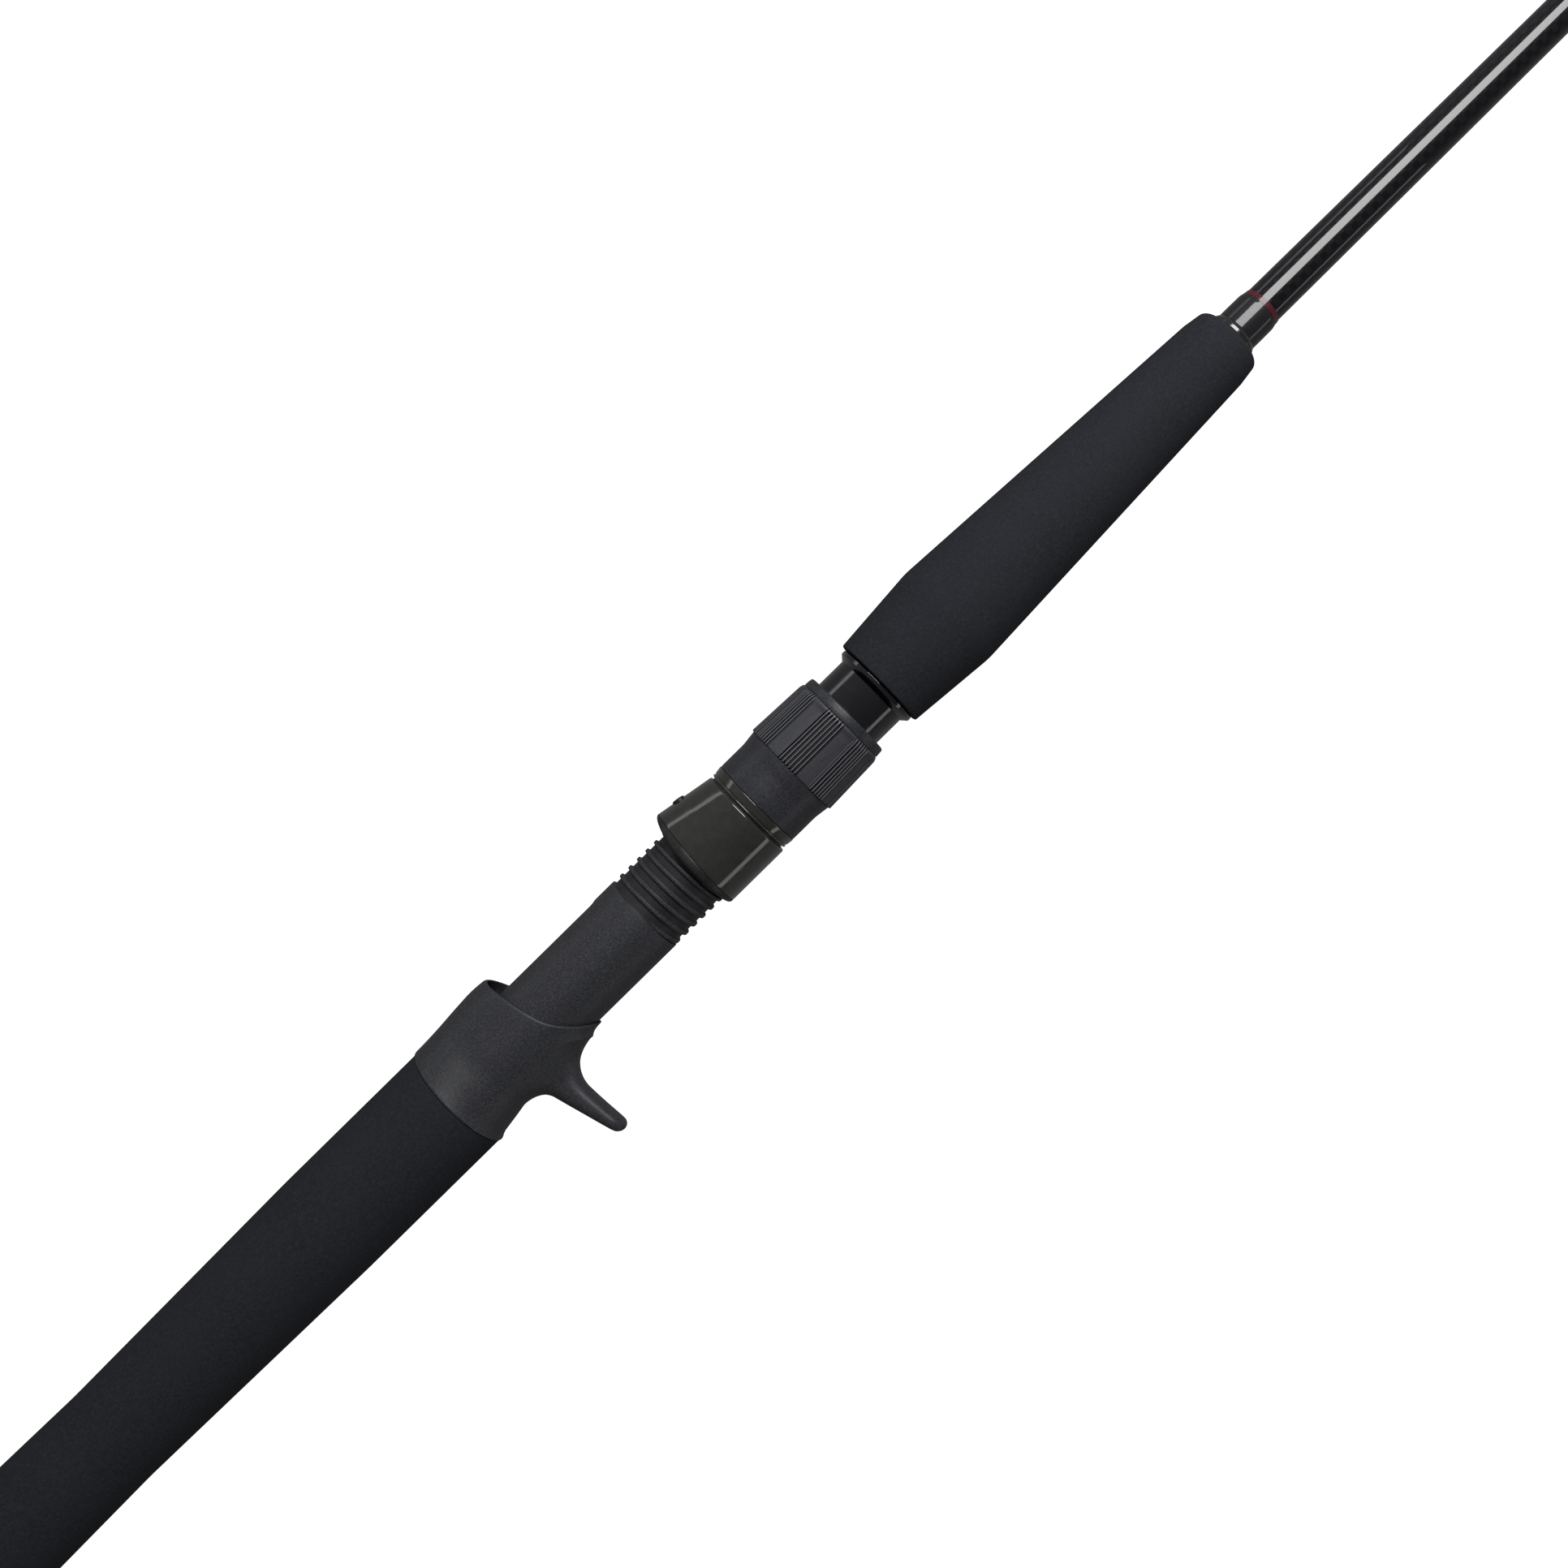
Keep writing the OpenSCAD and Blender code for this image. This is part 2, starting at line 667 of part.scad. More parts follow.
module slip_ring() {
    // A fine groove near the rear edge parts a narrow bead from the ring
    bead = 0.7;
    groove = 0.2;
    step = 0.2;
    r = slip_ring_d / 2 + wider;
    front_x = ring_back + bead + groove;
    color(gloss_color) turned(concat(
        [[ring_back, nose_r + glue], [ring_back, r - 2 * step], [ring_back + bead / 2, r - step],
            [ring_back + bead, r - 2 * step], [ring_back + bead, r - 3 * step],
            [front_x, r - 3 * step]],
        rounded([[front_x, r - 1.5 * step, 0], [neck_x - glue, r, 0.3],
            [neck_x - glue, nose_r + glue, 0]])));
}

module lock_nut() {
    // The neck flares out over its front third
    flare_x = sleeve_x - neck_len / 3;
    neck_flare = 0.5;
    shoulder_step = 0.5;
    color(matte_color) turned(concat(
        rounded([
            [nose_x, nut_bore_r, 0],
            [nose_x, nose_r, 0],
            [neck_x, nose_r, 0],
            [neck_x, neck_r, 0.3],
            [flare_x, neck_r, 20],
            [sleeve_x - glue, neck_r + neck_flare, 0],
            [sleeve_x - glue, core_r, 0],
            [shoulder_x + glue, core_r, 0],
            [shoulder_x + glue, sleeve_front_r - shoulder_step, 0.2],
            [nut_end, sleeve_front_r - shoulder_step - 0.2, 1.1],
            [nut_end, nut_bore_r, 0]])));
}

// The nut's own thread runs in the middle of the grooves between the seat's ridges
module nut_thread() {
    steps_in = ceil((neck_x - thread_x - first_crest) / pitch) + 0.5;
    // Its root is sunk this far in the nut's wall, and it is wider than the seat's ridge
    sunk = 0.1;
    more_root = 0.25;
    more_crest = 0.3;
    color(matte_color) ridge(thread_x + first_crest + steps_in * pitch, 0, nut_turns,
        nut_bore_r + sunk, root_r + slip, ridge_root_w + more_root, ridge_crest_w + more_crest);
}

module nut_grip() {
    rear_r = sleeve_r;
    front_r = sleeve_front_r;
    lean = atan((rear_r - front_r) / grip_sleeve_len);
    // The first group's angle from +Y towards +Z
    first_group = 39.4;
    group_step = 360 / rib_groups;
    flat_w = 2 * rear_r * sin((group_step - grooves * groove_step) / 2);
    flat_depth = 0.3;
    groove_r = 0.32;
    color(matte_color) difference() {
        turned(rounded([
            [sleeve_x, core_r + glue, 0], [sleeve_x, rear_r, 0.25],
            [shoulder_x, front_r, 0.25], [shoulder_x, core_r + glue, 0],
            [sleeve_x, core_r + glue, 0]]));
        for (group = [0:rib_groups - 1]) {
            at = first_group + group * group_step;
            for (k = [0:grooves - 1])
                across(sleeve_x) rotate([0, 0, at + (k - (grooves - 1) / 2) * groove_step])
                    translate([rear_r - groove_depth + groove_r, 0, 0]) rotate([0, -lean, 0])
                        translate([0, 0, -past])
                            cylinder(h = grip_sleeve_len + 2 * past, r = groove_r, $fn = 16);
            across(sleeve_x) rotate([0, 0, at + group_step / 2])
                translate([sqrt(pow(rear_r, 2) - pow(flat_w / 2, 2)) - flat_depth, 0, 0])
                    rotate([0, -lean, 0]) translate([0, -flat_w / 2, -past])
                        cube([2 * past, flat_w, grip_sleeve_len + 2 * past]);
        }
    }
}

// ---- Foregrip, winding check and butt wrap ----

module foregrip() {
    taper_end = check_x - foregrip_nose_len;
    color(foam_color) on_blank([
        [foregrip_x, foregrip_rear_d / 2 - 1, 0],
        [foregrip_x, foregrip_rear_d / 2, 0.7],
        [foregrip_x + foregrip_crest, foregrip_d / 2, 60],
        [taper_end, foregrip_nose_d / 2, 6],
        [check_x, foregrip_nose_d / 2 - 1, 2.5],
        [check_x, foregrip_face_d / 2, 0]]);
}

// The check stands at least this far over the blank
check_rise = 1.3;
check_r = max(check_d / 2, blank_r(check_x) + check_rise);

module winding_check() {
    color(gloss_color) on_blank([
        [check_x + glue, check_r - 0.2, 0],
        [check_x + check_len / 2, check_r, 1],
        [wrap_x, check_r - 0.6, 0]]);
}

module butt_wrap() {
    color(wrap_color) on_blank([
        [wrap_x + glue, blank_r(wrap_x) + wrap_h, 0],
        [trim_x - 1, blank_r(trim_x) + wrap_h, 2],
        [trim_x, blank_r(trim_x) + trim_h, 0]]);
}

module trim_band() {
    color(trim_color) on_blank([
        [trim_x + glue, blank_r(trim_x) + trim_h, 0],
        [trim_x + trim_len, blank_r(trim_x + trim_len) + trim_h / 2, 0]]);
}

// ---- Line guides ----

guide_count = 6;
// Guide 1 is nearest the handle. Guides close up towards the tip.
function guide_x(i) =
    let (u = (guide_count + 1 - i) / (guide_count + 1))
    tip_x - (tip_x - check_x) * (guide_evenness * u + (1 - guide_evenness) * u * u);
function guide_d(i) = max(small_ring_d, first_ring_d * pow(ring_step, i - 1));
function hoop_r(d) = d / 2 + hoop_wall;
function guide_h(i) = blank_r(guide_x(i)) + foot_t + guide_stand + hoop_r(guide_d(i));
// Half of the distance between a guide's two feet, and the length of each foot
function leg_reach(i) = guide_d(i) * 0.55 + 2;
// Half the length of the level stretch of a foot, where its legs stand
foot_root = 1.7;
// Thickness of a foot's thin end
foot_toe = 0.3;
function guide_foot(i) = max(foot_len * guide_d(i) / first_ring_d, foot_len * 0.65);

// A ceramic ring round the line: its bore has a straight land between rounded mouths
module ceramic_ring(x, h, d) {
    inside = d / 2 - ring_wall;
    color(ceramic_color) translate([0, h, 0]) across(x) rotate_extrude($fn = round_fn)
        polygon(rounded([
            [d / 2 - glue, 0, 0],
            [d / 2 - glue, ring_len / 2, 0.4],
            [inside, ring_len / 2, ring_wall * 0.6],
            [inside, 0, 0],
            [inside, -ring_len / 2, ring_wall * 0.6],
            [d / 2 - glue, -ring_len / 2, 0.4],
            [d / 2 - glue, 0, 0]]));
}

// The metal disc that becomes the hoop round a ceramic ring, and the hole for the ring
module hoop_disc(x, h, d) {
    translate([0, h, 0]) bore(x - hoop_len / 2, x + hoop_len / 2, hoop_r(d));
}
module hoop_hole(x, h, d) {
    translate([0, h, 0]) bore(x - hoop_len, x + hoop_len, d / 2);
}

// A flat foot that tapers from its root to a thin end. Its underside is left for the blank.
module foot(root_x, side, len) {
    base = blank_r(root_x);
    // Far enough into the blank to leave nothing under the foot's thin end
    low = base - 2 * foot_toe;
    translate([0, 0, -foot_w / 2]) linear_extrude(foot_w) polygon([
        [root_x - side * foot_root, low], [root_x - side * foot_root, base + foot_t],
        [root_x + side * foot_root, base + foot_t], [root_x + side * len, base + foot_toe],
        [root_x + side * len, low]]);
}

// The blank with its glue line, as what it leaves in the pieces on it
module seat_of_blank(from, to) {
    turned([[from, 0], [from, bore_r(from)], [to, bore_r(to)], [to, 0]]);
}

module guide_frame(i) {
    x = guide_x(i);
    d = guide_d(i);
    h = guide_h(i);
    // Legs meet the hoop this far round from its foot
    spread = 52;
    mid_r = hoop_r(d) - hoop_wall / 2;
    reach = leg_reach(i) + guide_foot(i) + past;
    // The two legs of a foot stand side by side within its width
    leg_stance = (foot_w - leg_w) / 2 - 0.1;
    color(metal_color) difference() {
        union() {
            hoop_disc(x, h, d);
            for (side = [-1, 1]) {
                root_x = x + side * leg_reach(i);
                foot(root_x, side, guide_foot(i));
                for (hand = [-1, 1])
                    bar_between([root_x, blank_r(root_x) + foot_t / 2, hand * leg_stance],
                        [x, h - mid_r * cos(spread), hand * mid_r * sin(spread)],
                        leg_w, leg_t);
            }
        }
        hoop_hole(x, h, d);
        seat_of_blank(x - reach, x + reach);
    }
}

module guide_ring(i) {
    ceramic_ring(guide_x(i), guide_h(i), guide_d(i));
}

// Thread and epoxy over one foot: a barrel round the blank with a slot for the foot
module foot_wrap(root_x, side, len) {
    // The wrap starts clear of the legs, covers the foot, and is this thick at its ends
    clear = 0.3;
    cover = 0.35;
    edge = 0.25;
    from = root_x + side * (foot_root + clear);
    to = root_x + side * (len + wrap_over);
    start = min(from, to);
    end = max(from, to);
    rise = foot_t + cover;
    crown = 0.2;
    middle = (start + end) / 2;
    difference() {
        turned(concat(rounded([
                [start, blank_r(start) + edge, 0],
                [start, blank_r(start) + rise, 0.5],
                [middle, blank_r(middle) + rise + crown, 30],
                [end, blank_r(end) + rise, 0.5],
                [end, blank_r(end) + edge, 0]]),
            [[end, bore_r(end)], [start, bore_r(start)]]));
        translate([0, 0, -foot_w / 2 - glue]) linear_extrude(foot_w + 2 * glue) polygon([
            [root_x, 0], [root_x, blank_r(root_x) + foot_t + 2 * glue],
            [root_x + side * foot_root, blank_r(root_x) + foot_t + 2 * glue],
            [root_x + side * (len + glue), blank_r(root_x) + foot_toe + 2 * glue],
            [root_x + side * (len + glue), 0]]);
    }
}

module guide_wraps(i) {
    color(wrap_color) for (side = [-1, 1])
        foot_wrap(guide_x(i) + side * leg_reach(i), side, guide_foot(i));
}

// ---- Tip-top ----

tip_ring_x = rod_len - ring_len / 2;
tip_tube_r = blank_r(tip_x - tip_tube_len) + glue + tip_tube_wall;
tip_h = tip_tube_r + 1 + hoop_r(tip_ring_d);

module tip_frame() {
    tube_x = tip_x - tip_tube_len;
    // Closed front end of the tube
    tube_end = tip_x + 1;
    mid_r = hoop_r(tip_ring_d) - hoop_wall / 2;
    // Legs meet the hoop this far round from its foot, and start this far behind the tip
    spread = 50;
    leg_back = 2;
    color(metal_color) difference() {
        union() {
            turned(rounded([[tube_x, 0, 0], [tube_x, tip_tube_r, 0],
                [tube_end, tip_tube_r, 0.6], [tube_end, 0, 0]]));
            hoop_disc(tip_ring_x, tip_h, tip_ring_d);
            for (hand = [-1, 1])
                bar_between([tip_x - leg_back, tip_tube_r * 0.5, hand * tip_tube_r * 0.5],
                    [tip_ring_x, tip_h - mid_r * cos(spread), hand * mid_r * sin(spread)],
                    leg_w * 0.8, leg_t);
        }
        seat_of_blank(tube_x - past, tip_x + glue);
        hoop_hole(tip_ring_x, tip_h, tip_ring_d);
    }
}

module tip_ring() {
    ceramic_ring(tip_ring_x, tip_h, tip_ring_d);
}

module tip_wrap() {
    wrap_len = 7;
    ramp = 2;
    rise = 0.45;
    end = tip_x - tip_tube_len - glue;
    start = end - wrap_len;
    color(wrap_color) on_blank([
        [start, blank_r(start) + 0.1, 0],
        [start + ramp, blank_r(start) + rise, 3],
        [end, blank_r(end) + rise, 0.3],
        [end, blank_r(end) + 0.2, 0]]);
}

butt_cap();
rear_grip();
blank();
arbor(0);  // arbor_rear
arbor(1);  // arbor_middle
arbor(2);  // arbor_front
reel_seat();
seat_thread();
front_barrel();
front_ring();
hood_shell();
hood_liner();
slip_ring();
lock_nut();
nut_thread();
nut_grip();
foregrip();
winding_check();
butt_wrap();
trim_band();
guide_frame(1);  // guide_1_frame
guide_ring(1);  // guide_1_ring
guide_wraps(1);  // guide_1_wraps
guide_frame(2);  // guide_2_frame
guide_ring(2);  // guide_2_ring
guide_wraps(2);  // guide_2_wraps
guide_frame(3);  // guide_3_frame
guide_ring(3);  // guide_3_ring
guide_wraps(3);  // guide_3_wraps
guide_frame(4);  // guide_4_frame
guide_ring(4);  // guide_4_ring
guide_wraps(4);  // guide_4_wraps
guide_frame(5);  // guide_5_frame
guide_ring(5);  // guide_5_ring
guide_wraps(5);  // guide_5_wraps
guide_frame(6);  // guide_6_frame
guide_ring(6);  // guide_6_ring
guide_wraps(6);  // guide_6_wraps
tip_frame();
tip_ring();
tip_wrap();
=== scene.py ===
"""Trigger casting rod: detailed meshes, materials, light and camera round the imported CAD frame.

Shapes are worked out in millimetres along the rod (x), towards the reel side (y) and up (z),
and turned into metres when a mesh is made.
"""

import bmesh
import bpy
import math
import numpy as np
from mathutils import Matrix, Vector


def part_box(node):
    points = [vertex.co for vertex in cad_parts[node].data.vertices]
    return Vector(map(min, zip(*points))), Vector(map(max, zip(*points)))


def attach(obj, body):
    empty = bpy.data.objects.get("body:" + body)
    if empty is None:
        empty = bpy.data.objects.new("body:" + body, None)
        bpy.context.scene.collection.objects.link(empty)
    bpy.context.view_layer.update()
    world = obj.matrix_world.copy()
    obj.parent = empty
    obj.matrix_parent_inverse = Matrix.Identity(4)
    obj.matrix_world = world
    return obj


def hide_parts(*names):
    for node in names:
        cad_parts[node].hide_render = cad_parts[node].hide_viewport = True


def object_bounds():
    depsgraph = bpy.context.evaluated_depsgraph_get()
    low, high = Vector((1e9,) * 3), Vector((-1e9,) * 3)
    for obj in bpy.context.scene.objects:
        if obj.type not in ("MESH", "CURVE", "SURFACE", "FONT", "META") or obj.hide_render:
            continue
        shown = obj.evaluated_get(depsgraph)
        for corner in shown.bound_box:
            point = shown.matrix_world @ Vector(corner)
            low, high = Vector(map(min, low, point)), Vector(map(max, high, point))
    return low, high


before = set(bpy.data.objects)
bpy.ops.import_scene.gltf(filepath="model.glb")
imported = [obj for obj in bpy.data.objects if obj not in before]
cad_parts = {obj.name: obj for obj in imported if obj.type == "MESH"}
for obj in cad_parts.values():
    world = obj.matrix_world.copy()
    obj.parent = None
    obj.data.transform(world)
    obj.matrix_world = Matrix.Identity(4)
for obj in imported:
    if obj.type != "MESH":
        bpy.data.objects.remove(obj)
cad_low, cad_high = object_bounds()

MM = 0.001
RAD = math.radians(1)
# The gap left between neighbouring pieces, in mm
GLUE = 0.05

# ---- places from the frame


def ends(node):
    """The first and last station of a node along the rod, in mm."""
    low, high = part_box(node)
    return low[0] / MM, high[0] / MM


def extent(node, axis):
    """The middle of a node's box along an axis, and half of its size there, in mm."""
    low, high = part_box(node)
    return (low[axis] + high[axis]) / 2 / MM, (high[axis] - low[axis]) / 2 / MM


BARREL_LEN = 65.7
CAP_END = ends("butt_cap")[1]
SEAT_X, SEAT_END = ends("reel_seat")
THREAD_X = SEAT_X + BARREL_LEN
THREAD_END = ends("front_barrel")[0] - GLUE
RING_X = ends("front_ring")[0]
LIP_X, LINER_END = ends("hood_liner")
HOOD_FRONT = ends("hood_shell")[1]
RING_BACK, NECK_X = ends("slip_ring")
NOSE_X, NUT_END = ends("lock_nut")
SLEEVE_X, SHOULDER_X = ends("nut_grip")
FORE_X, CHECK_X = ends("foregrip")
WRAP_X = ends("butt_wrap")[0]
TRIM_X, TRIM_END = ends("trim_band")
BLANK_X, TIP_X = ends("blank")

# The seat: its barrel and the flat on it, its thread, its bore and the tube in front
BARREL_R = 11.25
SADDLE_H = 10.9
ROOT_R = 10.5
CREST_R = 11.2
BORE_R = 8.0
FRONT_TUBE_R = 9.4
PITCH = 3.0
FIRST_CREST = 2.55
# The blank's outside and bore at the butt, the winding check and the tip
BLANK_STATIONS = (BLANK_X, CHECK_X, TIP_X)
BLANK_R = (6.6, 5.35, 1.2)
BLANK_BORE_R = (5.0, 4.36, 0.6)
# The cup in the butt cap
CAP_FLOOR = 6
CAP_SOCKET_R = 14.2
GUIDES = 6
# The nut's ribs: groups round it, degrees from rib to rib and from +Y to the first group
RIB_GROUPS = 8
RIB_PITCH = 4.3
RIB_FIRST = 39.4
RIB_HALF_GROUP = 3 * RIB_PITCH


def blank_r(x):
    """Radius of the blank at a station: one slope to the winding check, one to the tip."""
    return float(np.interp(x, BLANK_STATIONS, BLANK_R))


def clamp(value):
    """The value, held between 0 and 1."""
    return min(max(value, 0), 1)


def smooth(t):
    """An S-curve from 0 to 1."""
    return t * t * (3 - 2 * t)


# ---- mesh helpers


def make(name, verts, faces, material, body, node, sharp=34):
    """A mesh object from points in mm, smooth except where it turns sharply."""
    mesh = bpy.data.meshes.new(name)
    mesh.from_pydata([tuple(c * MM for c in v) for v in verts], [], faces)
    tidy = bmesh.new()
    tidy.from_mesh(mesh)
    bmesh.ops.remove_doubles(tidy, verts=tidy.verts, dist=2e-7)
    bmesh.ops.recalc_face_normals(tidy, faces=tidy.faces)
    tidy.to_mesh(mesh)
    tidy.free()
    mesh.shade_smooth()
    mesh.set_sharp_from_angle(angle=sharp * RAD)
    mesh.materials.append(material)
    piece = bpy.data.objects.new(name, mesh)
    bpy.context.scene.collection.objects.link(piece)
    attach(piece, body)
    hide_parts(node)
    return piece


def joined(shapes):
    """One list of points and faces from several."""
    verts, faces = [], []
    for points, polygons in shapes:
        start = len(verts)
        verts.extend(points)
        faces.extend([tuple(start + i for i in f) for f in polygons])
    return verts, faces


def skin(rings, close_rings=True, caps=False):
    """Quads between rings of equal length. Rings close on themselves, and the last ring
    meets the first if close_rings is set. caps fills the two end rings."""
    count = len(rings[0])
    verts = [p for ring in rings for p in ring]
    faces = []
    last = len(rings) if close_rings else len(rings) - 1
    for i in range(last):
        here, there = i * count, (i + 1) % len(rings) * count
        for k in range(count):
            n = (k + 1) % count
            faces.append((here + k, here + n, there + n, there + k))
    if caps:
        faces.append(tuple(range(count)))
        faces.append(tuple((len(rings) - 1) * count + k for k in range(count)))
    return verts, faces


def rounded(path, steps=7):
    """A path of (x, r, corner radius) with its corners turned into arcs."""
    points = []
    for i, (x, r, radius) in enumerate(path):
        here = np.array((x, r), float)
        if radius == 0 or i in (0, len(path) - 1):
            points.append(tuple(here))
            continue
        back = np.array(path[i - 1][:2], float) - here
        ahead = np.array(path[i + 1][:2], float) - here
        u, v = back / np.linalg.norm(back), ahead / np.linalg.norm(ahead)
        half = math.acos(max(-1, min(1, u @ v))) / 2
        if half > 89.9 * RAD:
            points.append(tuple(here))
            continue
        room = min(np.linalg.norm(back), np.linalg.norm(ahead)) / 2
        reach = min(radius / math.tan(half), room)
        middle = here + (u + v) / np.linalg.norm(u + v) * reach / math.cos(half)
        start, end = here + u * reach - middle, here + v * reach - middle
        sweep = math.pi - 2 * half
        for k in range(steps + 1):
            t = k / steps
            spoke = start * math.sin(sweep * (1 - t)) + end * math.sin(sweep * t)
            points.append(tuple(middle + spoke / math.sin(sweep)))
    return points


def along(path, longest=6.0):
    """The same path with long stretches cut into shorter ones."""
    points = [path[0]]
    for a, b in zip(path, path[1:]):
        parts = max(1, math.ceil(math.dist(a, b) / longest))
        for k in range(1, parts + 1):
            points.append((a[0] + (b[0] - a[0]) * k / parts, a[1] + (b[1] - a[1]) * k / parts))
    return points


def ring(steps, place, centre=0.0):
    """Points round the rod's axis, or round a line at height centre on the reel side.
    place(angle) gives each point's station and radius."""
    points = []
    for k in range(steps):
        a = 2 * math.pi * k / steps
        x, r = place(a)
        points.append((x, centre + r * math.cos(a), r * math.sin(a)))
    return points


def turn(outline, steps=144, centre=0.0, shape=None):
    """A closed outline of (x, r) turned about the rod's axis, or about a line at height
    centre on the reel side. shape(x, r, angle) may change the radius."""
    return skin([ring(steps, lambda a: (x, shape(x, r, a) if shape else r), centre)
                 for x, r in outline])


def sleeve(outline, steps=144, longest=6.0):
    """A turned outside over the blank, with the blank's own taper as its bore."""
    outside = along(rounded(outline), longest)
    first, last = outline[0][0], outline[-1][0]
    inside = [(last, blank_r(last) + GLUE), (first, blank_r(first) + GLUE)]
    return turn(outside + inside, steps)


def bar_along(points, radii, flat, steps=14):
    """A closed oval bar along points. flat is the share of the radius across the z axis."""
    points = [np.array(p, float) for p in points]
    rings = []
    for i, p in enumerate(points):
        ahead = points[min(i + 1, len(points) - 1)] - points[max(i - 1, 0)]
        ahead /= np.linalg.norm(ahead)
        side = np.cross(ahead, (0.0, 0.0, 1.0))
        side /= np.linalg.norm(side)
        over = np.cross(side, ahead)
        corners = []
        for k in range(steps):
            a = 2 * math.pi * k / steps
            across = side * radii[i] * flat * math.cos(a)
            corners.append(tuple(p + across + over * radii[i] * math.sin(a)))
        rings.append(corners)
    return skin(rings, close_rings=False, caps=True)


def bend(points, count):
    """A smooth curve of count points through a few, by Catmull-Rom."""
    p = [np.array(q, float) for q in points]
    p = [2 * p[0] - p[1]] + p + [2 * p[-1] - p[-2]]
    out = []
    spans = len(p) - 3
    for k in range(count):
        t = k / (count - 1) * spans
        i = min(int(t), spans - 1)
        t -= i
        a, b, c, d = p[i:i + 4]
        out.append(0.5 * (2 * b + (c - a) * t + (2 * a - 5 * b + 4 * c - d) * t * t
                          + (3 * b - 3 * c + d - a) * t ** 3))
    return out


def soft_min(a, b, k):
    """Union of two distance fields with a blend of width k."""
    h = np.clip(0.5 + 0.5 * (b - a) / k, 0, 1)
    return b * (1 - h) + a * h - k * h * (1 - h)


def soft_max(a, b, k):
    """Intersection of two distance fields with a blend of width k."""
    return -soft_min(-a, -b, k)


def surface(field, low, high, step):
    """The surface where field(x, y, z) is 0, as quads: one point in each cell that the
    surface crosses, pulled onto the surface along the field's slope."""
    axes = [np.arange(lo, hi + step, step) for lo, hi in zip(low, high)]
    grid = field(*np.meshgrid(*axes, indexing="ij"))
    inside = grid < 0
    shape = np.array(grid.shape)
    total = np.zeros(tuple(shape) + (3,))
    count = np.zeros(tuple(shape), int)
    crossings = []

    def cells_round(cut, axis):
        """The four cells that meet at each crossed grid edge, in order round it."""
        across, up = [(1, 2), (2, 0), (0, 1)][axis]
        for da, db in ((0, 0), (-1, 0), (-1, -1), (0, -1)):
            cell = cut.copy()
            cell[:, across] += da
            cell[:, up] += db
            yield tuple(cell.T)

    for axis in range(3):
        a = [slice(None)] * 3
        b = [slice(None)] * 3
        a[axis], b[axis] = slice(0, -1), slice(1, None)
        cut = np.argwhere(inside[tuple(a)] != inside[tuple(b)])
        step_on = np.eye(3, dtype=int)[axis]
        one = grid[tuple(cut.T)]
        two = grid[tuple((cut + step_on).T)]
        where = cut + step_on * (one / (one - two))[:, None]
        crossings.append((axis, cut, one < 0))
        for cell in cells_round(cut, axis):
            np.add.at(total, cell, where)
            np.add.at(count, cell, 1)
    cells = np.argwhere(count > 0)
    number = -np.ones(tuple(shape), int)
    number[tuple(cells.T)] = np.arange(len(cells))
    points = total[tuple(cells.T)] / count[tuple(cells.T)][:, None] * step + np.array(low)
    for _ in range(3):
        value = field(*points.T)
        tiny = step * 0.05
        slope = np.stack([(field(*(points + d).T) - field(*(points - d).T)) / (2 * tiny)
                          for d in np.eye(3) * tiny], axis=1)
        share = np.clip(value / np.maximum((slope ** 2).sum(1), 0.05), -step, step)
        points -= share[:, None] * slope
    faces = []
    for axis, cut, out in crossings:
        quads = np.stack([number[cell] for cell in cells_round(cut, axis)], axis=1)
        quads[~out] = quads[~out][:, ::-1]
        faces.extend(map(tuple, quads.tolist()))
    return points.tolist(), faces


# ---- material helpers


